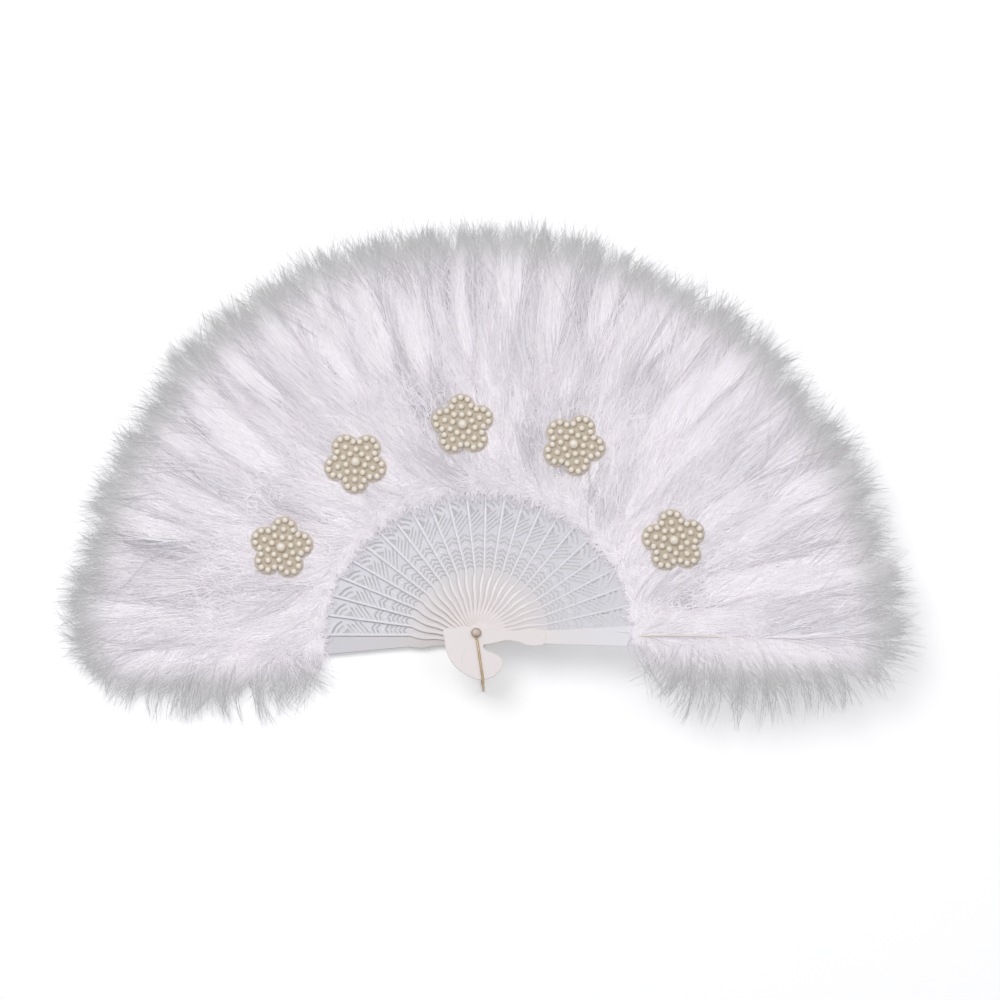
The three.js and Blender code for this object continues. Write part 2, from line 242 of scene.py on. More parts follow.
def grain_group():
    group, entry, leave = new_group(
        "fine_grain",
        [
            ("Scale", "NodeSocketFloat", 2000.0),
            ("Strength", "NodeSocketFloat", 0.1),
            ("Depth", "NodeSocketFloat", 0.0001),
        ],
        [("Normal", "NodeSocketVector")],
    )
    place = group.nodes.new("ShaderNodeTexCoord")
    noise = group.nodes.new("ShaderNodeTexNoise")
    noise.inputs["Detail"].default_value = 2.0
    bump = group.nodes.new("ShaderNodeBump")
    links = group.links
    links.new(place.outputs["Object"], noise.inputs["Vector"])
    links.new(entry.outputs["Scale"], noise.inputs["Scale"])
    links.new(noise.outputs["Fac"], bump.inputs["Height"])
    links.new(entry.outputs["Strength"], bump.inputs["Strength"])
    links.new(entry.outputs["Depth"], bump.inputs["Distance"])
    links.new(bump.outputs["Normal"], leave.inputs["Normal"])
    return group


MOTTLE = mottle_group()
GRAIN = grain_group()
print("shared effects:", MOTTLE.name, GRAIN.name)

# %% Materials
def new_material(name, roughness, **constants):
    """A material with its Principled shader, on which the constant values are set directly."""
    material = bpy.data.materials.new(name)
    material.use_nodes = True
    shader = material.node_tree.nodes["Principled BSDF"]
    shader.inputs["Roughness"].default_value = roughness
    for label, value in constants.items():
        shader.inputs[label.replace("_", " ")].default_value = value
    return material, shader


def add_group(material, group, **values):
    node = material.node_tree.nodes.new("ShaderNodeGroup")
    node.node_tree = group
    for label, value in values.items():
        node.inputs[label].default_value = value
    return node


def stained_finish(name, roughness, mottle, grain, **constants):
    """A finish of one colour with stains in it and a fine grain. mottle and grain are the values
    of their groups' inputs."""
    material, shader = new_material(name, roughness, **constants)
    links = material.node_tree.links
    links.new(add_group(material, MOTTLE, **mottle).outputs["Color"], shader.inputs["Base Color"])
    links.new(add_group(material, GRAIN, **grain).outputs["Normal"], shader.inputs["Normal"])
    return material


# %% [markdown]
# ## Finish: moulded ivory plastic
#
# The sticks and guards are one moulded plastic. Near the pivot, where the gorges crowd together,
# it looks warm and creamy. Farther out it is cooler. A colour ramp over the distance from the pivot
# gives that drift. The thin lace has the same material with three shades of its own, darker and
# lilac grey: painted shade for the shade of the layers below. So has the back guard, whose duller
# shades are painted shade where the stack keeps the light off it.

# %% Ivory plastic
WARM_IVORY = (0.87, 0.80, 0.785, 1)
PALE_IVORY = (0.84, 0.805, 0.81, 1)
LILAC_IVORY = (0.84, 0.83, 0.86, 1)
# painted shade: the back guard's darker shades stand for the stack keeping the light off it
BACK_PAINTED_WARM = (0.66, 0.61, 0.60, 1)
BACK_PAINTED_PALE = (0.61, 0.59, 0.60, 1)
BACK_PAINTED_LILAC = (0.59, 0.58, 0.61, 1)
# painted shade: the lace's three darker shades stand for the shade of the layers below
LACE_PAINTED_WARM = (0.75, 0.70, 0.69, 1)
LACE_PAINTED_PALE = (0.71, 0.695, 0.725, 1)
LACE_PAINTED_LILAC = (0.70, 0.695, 0.735, 1)
PLASTIC_STAIN = (0.70, 0.68, 0.72, 1)
PALE_PLACE = 0.45        # where the middle shade lies between the other two


def ivory_plastic(name, ramp_ends, roughness, shades=(WARM_IVORY, PALE_IVORY, LILAC_IVORY)):
    """ramp_ends are the distances from the pivot at which the drift of shades starts and ends."""
    material, shader = new_material(name, roughness, Specular_IOR_Level=0.45, Coat_Weight=0.15)
    nodes = material.node_tree.nodes
    links = material.node_tree.links
    place = nodes.new("ShaderNodeTexCoord")
    flat = nodes.new("ShaderNodeVectorMath")
    flat.operation = "MULTIPLY"
    flat.inputs[1].default_value = (1, 1, 0)
    length = nodes.new("ShaderNodeVectorMath")
    length.operation = "LENGTH"
    spread = nodes.new("ShaderNodeMapRange")
    spread.inputs["From Min"].default_value = ramp_ends[0] * MM
    spread.inputs["From Max"].default_value = ramp_ends[1] * MM
    ramp = nodes.new("ShaderNodeValToRGB")
    ramp.color_ramp.elements[0].color = shades[0]
    ramp.color_ramp.elements[1].color = shades[2]
    middle = ramp.color_ramp.elements.new(PALE_PLACE)
    middle.color = shades[1]
    mottle = add_group(material, MOTTLE, Stain=PLASTIC_STAIN, Scale=45.0, Amount=0.25)
    grain = add_group(material, GRAIN, Scale=1500.0, Strength=0.12, Depth=0.00008)
    links.new(place.outputs["Object"], flat.inputs[0])
    links.new(flat.outputs["Vector"], length.inputs[0])
    links.new(length.outputs["Value"], spread.inputs["Value"])
    links.new(spread.outputs["Result"], ramp.inputs["Fac"])
    links.new(ramp.outputs["Color"], mottle.inputs["Color"])
    links.new(mottle.outputs["Color"], shader.inputs["Base Color"])
    links.new(grain.outputs["Normal"], shader.inputs["Normal"])
    return material


LACE_PAINTED_SHADES = (LACE_PAINTED_WARM, LACE_PAINTED_PALE, LACE_PAINTED_LILAC)
BACK_PAINTED_SHADES = (BACK_PAINTED_WARM, BACK_PAINTED_PALE, BACK_PAINTED_LILAC)
STICK_PLASTIC = ivory_plastic("moulded_ivory", (14, 46), 0.34)
LACE_PAINTED_SHADE_PLASTIC = ivory_plastic("lace_ivory_painted_shade", (24, 50), 0.4, LACE_PAINTED_SHADES)
GUARD_PLASTIC = ivory_plastic("guard_ivory", (22, 60), 0.30)
BACK_PAINTED_SHADE_PLASTIC = ivory_plastic("back_guard_ivory_painted_shade", (22, 60), 0.34, BACK_PAINTED_SHADES)
print("plastics:", STICK_PLASTIC.name, LACE_PAINTED_SHADE_PLASTIC.name, GUARD_PLASTIC.name, BACK_PAINTED_SHADE_PLASTIC.name)

# %% [markdown]
# ## Helper: a flat piece with rounded edges
#
# Sticks, guards and felt are all cut or moulded flat. Blender's 2D curves suit them: the outline
# and every hole are closed splines, and the fill, the thickness and the small edge round are made
# by the curve itself. The mesh is taken from the curve once, in millimetres. A wire, a quill and
# a groove's cutter are curves too: a path with a round bevel makes the tube.

# %% Flat pieces from curves
WELD_DISTANCE = 1e-5


def add_loop(curve, points, rounded):
    """A closed spline. Rounded loops bend smoothly through their points, others keep corners."""
    spline = curve.splines.new("BEZIER")
    spline.bezier_points.add(len(points) - 1)
    spline.use_cyclic_u = True
    for knot, (x, y) in zip(spline.bezier_points, points):
        knot.co = (x, y, 0)
        kind = "AUTO" if rounded else "VECTOR"
        knot.handle_left_type = kind
        knot.handle_right_type = kind
    return spline


def mesh_from_curve(curve, name):
    """The curve's mesh, with no curve left behind."""
    shape = bpy.data.objects.new(name, curve)
    scene.collection.objects.link(shape)
    bpy.context.view_layer.update()
    evaluated = shape.evaluated_get(bpy.context.evaluated_depsgraph_get())
    mesh = bpy.data.meshes.new_from_object(evaluated)
    bpy.data.objects.remove(shape)
    return mesh


def flat_piece(loops, bottom, top, edge_round, steps=6, edge_steps=1):
    """loops is a list of (points, rounded), the outline first. Heights are in millimetres."""
    curve = bpy.data.curves.new("flat_piece", "CURVE")
    curve.dimensions = "2D"
    curve.fill_mode = "BOTH"
    curve.resolution_u = steps
    curve.bevel_resolution = edge_steps
    curve.bevel_depth = edge_round
    curve.offset = -edge_round
    curve.extrude = (top - bottom) / 2 - edge_round
    for points, rounded in loops:
        add_loop(curve, points, rounded)
    mesh = mesh_from_curve(curve, "flat_piece")
    mesh.transform(Matrix.Translation((0, 0, (top + bottom) / 2)))
    return mesh


def mesh_from(bm, name):
    """The finished mesh of a bmesh, which is freed."""
    mesh = bpy.data.meshes.new(name)
    bm.to_mesh(mesh)
    bm.free()
    return mesh


def merged(meshes):
    """Several meshes as one, each keeping its own materials' places."""
    bm = bmesh.new()
    for mesh in meshes:
        bm.from_mesh(mesh)
    bmesh.ops.remove_doubles(bm, verts=bm.verts, dist=WELD_DISTANCE)
    bmesh.ops.recalc_face_normals(bm, faces=bm.faces)
    return mesh_from(bm, "merged")


def smooth_all(mesh):
    for face in mesh.polygons:
        face.use_smooth = True


def smooth_by_angle(mesh, degrees):
    smooth_all(mesh)
    mesh.set_sharp_from_angle(angle=math.radians(degrees))


# %% Tubes along a path
def path_curve(name, section_steps=0, radius=0.0):
    curve = bpy.data.curves.new(name, "CURVE")
    curve.dimensions = "3D"
    curve.bevel_depth = radius
    curve.bevel_resolution = section_steps
    curve.use_fill_caps = True
    return curve


def tube_mesh(points, radius, section_steps, shares=None, rounded=False):
    """A round tube through points. shares are parts of the radius, one for each point."""
    curve = path_curve("tube", section_steps, radius)
    spline = curve.splines.new("BEZIER" if rounded else "POLY")
    knots = spline.bezier_points if rounded else spline.points
    knots.add(len(points) - 1)
    if shares is None:
        shares = [1.0] * len(points)
    for knot, place, share in zip(knots, points, shares):
        knot.co = place if rounded else (*place, 1)
        knot.radius = share
        if rounded:
            knot.handle_left_type = "AUTO"
            knot.handle_right_type = "AUTO"
    return mesh_from_curve(curve, "tube")


# %% Putting a piece in its place
def add_piece(name, mesh, body, node, materials):
    """Puts a finished mesh on its body, in place of its CAD node."""
    mesh.name = name
    piece = bpy.data.objects.new(name, mesh)
    scene.collection.objects.link(piece)
    for material in materials:
        piece.data.materials.append(material)
    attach(piece, body)
    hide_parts(node)
    return piece


# %% [markdown]
# ## The pierced sticks
#
# A stick turns on the rivet with a round end. Its gorge is narrow and bowed, so that the open fan
# shows a swirl of ribs, and its blade widens like a ray. A raised rim runs round the blade and down
# both sides of the gorge, and the panel inside it is thinner. Its lace is pierced: rows of slots
# that meet in a V, with a small square stud between them, slanting bars beside a triangle, and two
# arcs like fish scales. The plain slip at the end goes up under the feather. One stick is made with
# care, and its copies are turned into their places.

# %% Stick outline
HEAD_RADIUS = 4.2
GORGE_LENGTH = 30.0
GORGE_WIDTH = 3.8
GORGE_BEND = 1.5
BLADE_LENGTH = 40.0
BLADE_TIP_WIDTH = 11.0
BLADE_BULGE = 1.2
STICK_THICK = 0.75
SLIP_THICK = 0.3
SLIP_LENGTH = 11.5
SLIP_WIDTH = 4.6
SLIP_TIP_WIDTH = 2.8
RIVET_HOLE_RADIUS = 1.16
RIVET_HOLE_SIDES = 12
GORGE_PLACES = (0.12, 0.45, 0.62, 0.76, 0.9, 1.0)
GORGE_CENTRES = (0.2, 0.5, 0.7, 0.9, 1.0, 1.0)
GORGE_WIDTHS = (1.1, 1.0, 1.15, 1.6, 1.6, 1.28)
BLADE_ROOT_WIDTH = GORGE_WIDTH * GORGE_WIDTHS[-1]
BLADE_END = GORGE_LENGTH + BLADE_LENGTH
HEAD_ARC = (62, 298)     # degrees, the part of the round end that the gorge leaves free


def gorge_edge(width, side):
    """Points along one edge of the gorge, side 1 for the left and -1 for the right."""
    edge = []
    for place, centre, share in zip(GORGE_PLACES, GORGE_CENTRES, GORGE_WIDTHS):
        edge.append((GORGE_LENGTH * place, -GORGE_BEND * centre + side * width * share / 2))
    return edge


def arc(x, y, radius, start, end, steps):
    """Points on a circle's arc, between two angles in degrees."""
    angles = np.radians(np.linspace(start, end, steps + 1))
    return [(x + radius * math.cos(a), y + radius * math.sin(a)) for a in angles]


def circle(x, y, radius, sides):
    """Points all round a circle, without the first one again at the end."""
    return arc(x, y, radius, 0, 360 - 360 / sides, sides - 1)


def blade_middle(place):
    return -GORGE_BEND * (1 - place)


def blade_half_width(place):
    return (BLADE_ROOT_WIDTH + (BLADE_TIP_WIDTH - BLADE_ROOT_WIDTH) * place) / 2


def stick_outline():
    right = gorge_edge(GORGE_WIDTH, -1)
    left = gorge_edge(GORGE_WIDTH, 1)[::-1]
    half = BLADE_TIP_WIDTH / 2
    end = [(BLADE_END, -half), (BLADE_END + BLADE_BULGE, 0), (BLADE_END, half)]
    head = arc(0, 0, HEAD_RADIUS, *HEAD_ARC, 8)
    return right + end + left + head


print("points in a stick's outline:", len(stick_outline()))

# %% Rows of slots
RIM_WIDTH = 0.9
SIDE_BAR = 0.35
SLOT_THICK = 0.86
ROW_PITCH = 1.95
LADDER_START = 31.6
LADDER_END = 46.3
LADDER_SLANT = 0.55
STUD_PLACE = 42.4
STUD_ROOM = 1.5


def lace_room(along):
    """The lace's left edge, beside the raised rim, and its width at a distance from the pivot."""
    place = (along - GORGE_LENGTH) / BLADE_LENGTH
    half = blade_half_width(place) - RIM_WIDTH
    return blade_middle(place) + half, 2 * half


def from_rim(pairs):
    """Points given as (distance from the pivot, distance in from the left rim)."""
    points = []
    for along, inward in pairs:
        edge, width = lace_room(along)
        points.append((along, edge - min(max(inward, SIDE_BAR), width - SIDE_BAR)))
    return points


def ladder_row(along):
    """A pair of slanting slots that make a shallow V across the blade."""
    width = lace_room(along)[1]
    bend, slant = width / 2, width / 2 * LADDER_SLANT
    gap = SIDE_BAR / 2
    left = [(along, 0), (along + slant, bend - gap)]
    right = [(along + slant, bend + gap), (along, width)]
    rows = []
    for (start, near), (end, far) in (left, right):
        top, bottom = end + SLOT_THICK, start + SLOT_THICK
        rows.append(from_rim([(start, near), (end, far), (top, far), (bottom, near)]))
    return rows


def ladder():
    holes = []
    along = LADDER_START
    while along < LADDER_END:
        if abs(along + SLOT_THICK - STUD_PLACE) > STUD_ROOM:
            holes += ladder_row(along)
        along += ROW_PITCH
    return holes


print("slots in the rows:", len(ladder()))

# %% Triangle, bars and arcs
MOTIF_PLACE = 58.0
MOTIF_HALF = 2.2
MOTIF_WIDTH = 2.6
BAR_PITCH = 2.1
BAR_COUNT = 4
BAR_SETBACK = 0.2
BAR_CLEARANCE = 0.5
BAR_STEP = 0.1
BAR_STEEPNESS = 1.1
ARC_RADII = (5.0, 7.3)
ARC_THICK = 1.25
ARC_END_ANGLE = 62
ARC_THINNING = 0.5


def half_diamond():
    low, high = MOTIF_PLACE - MOTIF_HALF, MOTIF_PLACE + MOTIF_HALF
    return from_rim([(low, 0), (MOTIF_PLACE, MOTIF_WIDTH), (high, 0)])


def slanting_bar(index):
    """A slot beside the triangle's lower side, as long as the arcs and the far rim allow."""
    start = MOTIF_PLACE - MOTIF_HALF - BAR_PITCH * (index + 1) + BAR_SETBACK
    reach = 1.0
    while reach < lace_room(start + reach)[1] - SIDE_BAR:
        to_middle = math.hypot(start + reach + SLOT_THICK - MOTIF_PLACE, reach)
        if to_middle > ARC_RADII[0] - BAR_CLEARANCE and start + reach > MOTIF_PLACE - MOTIF_HALF:
            break
        reach += BAR_STEP
    far = start + reach * MOTIF_HALF / MOTIF_WIDTH * BAR_STEEPNESS
    return from_rim([(start, 0), (far, reach), (far + SLOT_THICK, reach), (start + SLOT_THICK, 0)])


def scale_arc(radius):
    """An arc round the triangle's middle, from the rim to where it turns down."""
    angles = np.radians(np.linspace(0, ARC_END_ANGLE, 8))
    widths = ARC_THICK * (1 - ARC_THINNING * angles)
    inner = [(MOTIF_PLACE + radius * math.cos(a), radius * math.sin(a)) for a in angles]
    outer = [
        (MOTIF_PLACE + (radius + width) * math.cos(a), (radius + width) * math.sin(a))
        for width, a in zip(widths, angles)
    ]
    return from_rim(inner + outer[::-1])


def lace_holes():
    bars = [slanting_bar(index) for index in range(BAR_COUNT)]
    arcs = [scale_arc(radius - ARC_THICK) for radius in ARC_RADII]
    return ladder() + [half_diamond()] + bars + arcs


print("lace holes in a stick:", len(lace_holes()))

# %% The opening inside the rim
LACE_START = 31.0
LACE_END = 69.4
POCKET_START = 11.0
POCKET_DIP = 0.6
RIB_WIDTH = 1.35
THIN_RIB_SHARE = 0.45
WINDOW_BULGE_SHARE = 0.7


def gorge_pocket(side, inset):
    """Points along one side of the gorge's sunk part, which leaves a raised rib beside it."""
    return [(x, y - side * inset) for x, y in gorge_edge(GORGE_WIDTH, side)[1:5]]


def lace_window(grow):
    """The opening inside the rim, or, grown a little, the lace panel that fills it."""
    near, far = LACE_START, LACE_END + grow
    near_left, near_width = lace_room(near)
    far_left, far_width = lace_room(far)
    return [
        (POCKET_START - grow, -GORGE_BEND * POCKET_DIP),
        *gorge_pocket(-1, RIB_WIDTH * THIN_RIB_SHARE - grow),
        (near, near_left - near_width - grow),
        (far, far_left - far_width - grow),
        (far + BLADE_BULGE * WINDOW_BULGE_SHARE, far_left - far_width / 2),
        (far, far_left + grow),
        (near, near_left + grow),
        *gorge_pocket(1, RIB_WIDTH - grow)[::-1],
    ]


print("points in the opening:", len(lace_window(0)))

# %% Parts of a stick
LACE_BOTTOM = 0.16
LACE_TOP = 0.46
RIM_ROUND = 0.17
PANEL_ROUND = 0.05
PANEL_LAP = 0.2          # how far the panel reaches in under the rim
SLIP_LAP = 0.3
SLIP_ROUND = 0.06
STUD_SHARE = 0.42
STUD_SIDE = 1.15
STUD_RISE = 0.2
STUD_SINK = 0.1
STUD_BEVEL = 0.09
PLASTIC_CREASE = 35      # degrees between faces, above which an edge stays sharp


def corner_outline(points):
    """Rounds a stick's gorge and head by adding points, so that its blade can keep its corners."""
    guide = bpy.data.curves.new("guide", "CURVE")
    guide.resolution_u = 5
    add_loop(guide, points, True)
    root = len(GORGE_PLACES)
    for index in (root - 1, root + 2):
        guide.splines[0].bezier_points[index].handle_left_type = "FREE"
        guide.splines[0].bezier_points[index].handle_right_type = "VECTOR"
    for index in (root, root + 3):
        guide.splines[0].bezier_points[index].handle_left_type = "VECTOR"
        guide.splines[0].bezier_points[index].handle_right_type = "FREE"
    mesh = mesh_from_curve(guide, "guide")
    outline = [(v.co.x, v.co.y) for v in mesh.vertices]
    bpy.data.meshes.remove(mesh)
    return outline


def slip_plate(thick, edge_round):
    """The plain slip that goes up under the feather."""
    root, tip = BLADE_END - SLIP_LAP, BLADE_END + SLIP_LENGTH
    half, tip_half = SLIP_WIDTH / 2, SLIP_TIP_WIDTH / 2
    outline = [(root, -half), (tip, -tip_half), (tip, tip_half), (root, half)]
    return flat_piece([(outline, False)], 0, thick, edge_round, edge_steps=0)


def stud_mesh():
    """The small square stud that catches the light in the middle of the lace."""
    edge, width = lace_room(STUD_PLACE)
    middle = LACE_TOP + (STUD_RISE - STUD_SINK) / 2
    place = Matrix.Translation((STUD_PLACE, edge - width * STUD_SHARE, middle))
    size = Matrix.Diagonal((STUD_SIDE, STUD_SIDE, STUD_RISE + STUD_SINK, 1))
    bm = bmesh.new()
    bmesh.ops.create_cube(bm, size=1, matrix=place @ size)
    bmesh.ops.bevel(
        bm,
        geom=bm.edges[:],
        offset=STUD_BEVEL,
        segments=1,
        profile=0.5,
        affect="EDGES",
        material=-1,
    )
    return mesh_from(bm, "stud")


def rivet_hole():
    return circle(0, 0, RIVET_HOLE_RADIUS, RIVET_HOLE_SIDES)


def stick_mesh():
    """Face material 0 is the plain plastic and 1 is the thinner lace, coloured with painted shade.
    """
    outline = corner_outline(stick_outline())
    rim_loops = [(outline, False), (lace_window(0), False), (rivet_hole(), False)]
    rim = flat_piece(rim_loops, 0, STICK_THICK, RIM_ROUND)
    panel_loops = [(points, False) for points in [lace_window(PANEL_LAP)] + lace_holes()]
    panel = flat_piece(panel_loops, LACE_BOTTOM, LACE_TOP, PANEL_ROUND, edge_steps=0)
    for face in panel.polygons:
        face.material_index = 1
    mesh = merged([rim, panel, stud_mesh(), slip_plate(SLIP_THICK, SLIP_ROUND)])
    smooth_by_angle(mesh, PLASTIC_CREASE)
    return mesh


# %% The sticks in their places
pattern_stick = stick_mesh()
plastics = [STICK_PLASTIC, LACE_PAINTED_SHADE_PLASTIC]
for number in STICK_NUMBERS:
    node, body = f"stick_{number:02d}", f"blade_{number:02d}"
    mesh = pattern_stick.copy()
    mesh.transform(placed(stick_angle(number), layer_height(node)))
    add_piece(f"pierced_{node}", mesh, body, node, plastics)
print("faces in a stick:", len(pattern_stick.polygons))

# %% [markdown]
# ## The guards
#
# The two outer sticks are thicker and plain, and each has a comma-shaped head that hangs below the
# pivot and hides the ends of the others. The head and gorge stand a little proud of the blade. The
# front guard's head carries a shallow curved groove, cut here with a boolean and a bent tube. The
# back guard's head has a lower shoulder, so that it stays out of sight behind the front guard's
# notch, and its proud side is underneath.

# %% Guard outline
GUARD_GORGE_WIDTH = 4.7
GUARD_TIP_WIDTH = 9.6
GUARD_THICK = 1.1
GUARD_RISE = 0.3
GUARD_SLIP_THICK = 0.65
HEAD_REACH = 21.3
HEAD_TOP = ((0.014, 0.117), (-0.254, 0.146), (-0.469, 0.103))
HEAD_CORNER = (-0.676, 0.059)
BACK_HEAD_TOP = ((0.014, 0.117), (-0.12, 0.01), (-0.3, -0.07), (-0.469, -0.09))
BACK_HEAD_CORNER = (-0.655, -0.09)
HEAD_ROUND = (
    (-0.657, -0.16),
    (-0.606, -0.408),
    (-0.418, -0.714),
    (-0.18, -0.88),
    (0.06, -0.975),
    (0.286, -0.948),
    (0.47, -0.82),
    (0.568, -0.66),
    (0.54, -0.53),
    (0.40, -0.43),
    (0.21, -0.35),
    (0.15, -0.265),
)
NOTCH_EDGE = ((5.4, -5.0), (9.2, -4.1))
BLADE_START_SHARE = 0.8
BLADE_START_HALF = GUARD_GORGE_WIDTH * 0.58


def head_points(shares):
    return [(HEAD_REACH * x, HEAD_REACH * y) for x, y in shares]


def guard_head_outline(faces_up):
    """The head and gorge, as far out as the blade's start. The back head's shoulder is lower."""
    right = gorge_edge(GUARD_GORGE_WIDTH, -1)[1:]
    left = gorge_edge(GUARD_GORGE_WIDTH, 1)[::-1]
    top = HEAD_TOP + (HEAD_CORNER,) if faces_up else BACK_HEAD_TOP + (BACK_HEAD_CORNER,)
    return right + left + head_points(top + HEAD_ROUND) + list(NOTCH_EDGE)


def guard_blade_outline():
    start = GORGE_LENGTH * BLADE_START_SHARE
    half_end = GUARD_TIP_WIDTH / 2
    return [
        (start, -GORGE_BEND - BLADE_START_HALF),
        (BLADE_END, -half_end),
        (BLADE_END + BLADE_BULGE, 0),
        (BLADE_END, half_end),
        (start, -GORGE_BEND + BLADE_START_HALF),
    ]


print("points in a guard's head:", len(guard_head_outline(True)))

# %% Guard meshes
GUARD_HEAD_ROUND = 0.28
GUARD_BLADE_ROUND = 0.2
GUARD_SLIP_ROUND = 0.1
JOIN_INSET = 0.03        # keeps the blade's faces off the head's where the two overlap
LEVEL_FACE = 0.9995      # level faces stay flat, so the groove's shade doesn't spread over them
GROOVE_RADIUS = 1.1
GROOVE_OFFSET_SHARE = 0.88
GROOVE_PATH = ((-2.4, -5.2), (-4.8, -8.6), (-6.2, -12.6), (-5.2, -16.4))
GROOVE_SHARES = (0.9, 1.0, 1.0, 0.88)


def groove_cutter(height):
    points = [(x, y, height) for x, y in GROOVE_PATH]
    return tube_mesh(points, GROOVE_RADIUS, 2, GROOVE_SHARES, rounded=True)


def cut(mesh, cutter_mesh):
    """The mesh with the cutter taken out of it."""
    body = bpy.data.objects.new("body", mesh)
    cutter = bpy.data.objects.new("cutter", cutter_mesh)
    scene.collection.objects.link(body)
    scene.collection.objects.link(cutter)
    boolean = body.modifiers.new("cut", "BOOLEAN")
    boolean.operation = "DIFFERENCE"
    boolean.solver = "EXACT"
    boolean.object = cutter
    bpy.context.view_layer.update()
    evaluated = body.evaluated_get(bpy.context.evaluated_depsgraph_get())
    result = bpy.data.meshes.new_from_object(evaluated)
    bpy.data.objects.remove(body)
    bpy.data.objects.remove(cutter)
    return result


def guard_mesh(faces_up):
    """The blade's inner face is at height 0. The proud side is up on the front guard only."""
    bottom = 0 if faces_up else -GUARD_RISE
    top = GUARD_THICK + GUARD_RISE if faces_up else GUARD_THICK
    head_loops = [(guard_head_outline(faces_up), True), (rivet_hole(), False)]
    head = merged([flat_piece(head_loops, bottom, top, GUARD_HEAD_ROUND, edge_steps=2)])
    if faces_up:
        head = cut(head, groove_cutter(top + GROOVE_RADIUS * GROOVE_OFFSET_SHARE))
    blade = flat_piece(
        [(guard_blade_outline(), False)],
        JOIN_INSET,
        GUARD_THICK - JOIN_INSET,
        GUARD_BLADE_ROUND,
        edge_steps=2,
    )
    mesh = merged([head, blade, slip_plate(GUARD_SLIP_THICK, GUARD_SLIP_ROUND)])
    smooth_by_angle(mesh, PLASTIC_CREASE)
    for face in mesh.polygons:
        face.use_smooth = abs(face.normal.z) < LEVEL_FACE
    return mesh


def add_guard(end, number, height, faces_up, plastic):
    mesh = guard_mesh(faces_up)
    mesh.transform(placed(stick_angle(number), height))
    name, body, node = f"{end}_guard_plate", f"{end}_guard", f"guard_{end}"
    add_piece(name, mesh, body, node, [plastic])


front_height = layer_height("guard_front")
back_height = layer_height("guard_back") + GUARD_RISE
add_guard("front", 0, front_height, True, GUARD_PLASTIC)
add_guard("back", STICK_COUNT + 1, back_height, False, BACK_PAINTED_SHADE_PLASTIC)
print("guards at heights %.2f and %.2f mm" % (front_height, back_height))

# %% [markdown]
# ## Brass: the rivet and the bail
#
# A pin with two heads holds the stack, and a brass wire bail swings on its ends to take a tassel.
# Fingers have dulled the rivet to a warm grey, and the bail has kept its yellow. The rivet is
# turned from a profile with spin. The bail is one length of wire, bent into an eye at each end, so
# it is a curve with a round bevel.

# %% Brass finishes
BRASS = stained_finish(
    "drawn_brass",
    0.38,
    dict(Color=(0.52, 0.41, 0.25, 1), Stain=(0.20, 0.13, 0.055, 1), Scale=420.0, Amount=0.7),
    dict(Scale=3000.0, Strength=0.2, Depth=0.00005),
    Metallic=1.0,
)
RIVET_METAL = stained_finish(
    "dull_rivet",
    0.5,
    dict(Color=(0.55, 0.47, 0.42, 1), Stain=(0.26, 0.21, 0.17, 1), Scale=700.0, Amount=0.8),
    dict(Scale=3000.0, Strength=0.3, Depth=0.00008),
    Metallic=0.5,
)
print("metals:", BRASS.name, RIVET_METAL.name)

# %% Rivet
RIVET_RADIUS = 1.0
RIVET_HEAD_RADIUS = 1.9
RIVET_HEAD_THICK = 0.7
DOME_HEIGHT = 0.5
DOME_ANGLES = (0, 20, 40, 60, 78)
EDGE_SOFTENING = 0.15
SPIN_WELD = 1e-4
RIVET_STEPS = 28
RIVET_CREASE = 40


def rivet_profile(height):
    dome_base = height - DOME_HEIGHT
    dome = [
        (RIVET_HEAD_RADIUS * math.cos(a), dome_base + DOME_HEIGHT * math.sin(a))
        for a in np.radians(DOME_ANGLES)
    ]
    return [
        (0, 0),
        (RIVET_HEAD_RADIUS - EDGE_SOFTENING, 0),
        (RIVET_HEAD_RADIUS, EDGE_SOFTENING),
        (RIVET_HEAD_RADIUS, RIVET_HEAD_THICK),
        (RIVET_RADIUS, RIVET_HEAD_THICK),
        (RIVET_RADIUS, dome_base),
        *dome,
        (0, height),
    ]


def turned_mesh(profile, steps):
    """A profile of (radius, height) points, spun round the upright axis."""
    bm = bmesh.new()
    ring = [bm.verts.new((radius, 0, height)) for radius, height in profile]
    edges = [bm.edges.new(pair) for pair in zip(ring, ring[1:])]
    bmesh.ops.spin(
        bm,
        geom=ring + edges,
        cent=(0, 0, 0),
        axis=(0, 0, 1),
        angle=2 * math.pi,
        steps=steps,
        use_merge=True,
    )
    bmesh.ops.remove_doubles(bm, verts=bm.verts, dist=SPIN_WELD)
    bmesh.ops.recalc_face_normals(bm, faces=bm.faces)
    mesh = mesh_from(bm, "turned")
    smooth_by_angle(mesh, RIVET_CREASE)
    return mesh


rivet_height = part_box("rivet")[1].z / MM
rivet = turned_mesh(rivet_profile(rivet_height), RIVET_STEPS)
rivet.transform(placed(0, 0))
add_piece("rivet_pin", rivet, "back_guard", "rivet", [RIVET_METAL])
print("rivet height: %.2f mm" % rivet_height)

# %% Bail
WIRE_RADIUS = 0.5
WIRE_CREASE = 50
BAIL_ANGLE = 278.0
BAIL_REACH = 22.4
BAIL_CORNER = 1.0
BAIL_CHAMFER = 0.3
EYE_RADIUS = 1.75
EYE_ARC = (-310, -25)
EYE_EXIT = (EYE_RADIUS + 1.6, -0.1)


def bail_route(low, high):
    """The wire's middle line: an eye round the rivet, out, up past the heads, back, and an eye."""
    eye = arc(0, 0, EYE_RADIUS, *EYE_ARC, 12) + [EYE_EXIT]
    corner = [
        (BAIL_REACH - BAIL_CORNER, 0),
        (BAIL_REACH - BAIL_CHAMFER, BAIL_CHAMFER),
        (BAIL_REACH, BAIL_CORNER),
    ]
    lower = [(x, y, low) for x, y in eye] + [(x, 0, low + rise) for x, rise in corner]
    upper = [(x, y, high) for x, y in eye] + [(x, 0, high - rise) for x, rise in corner]
    return lower + upper[::-1]


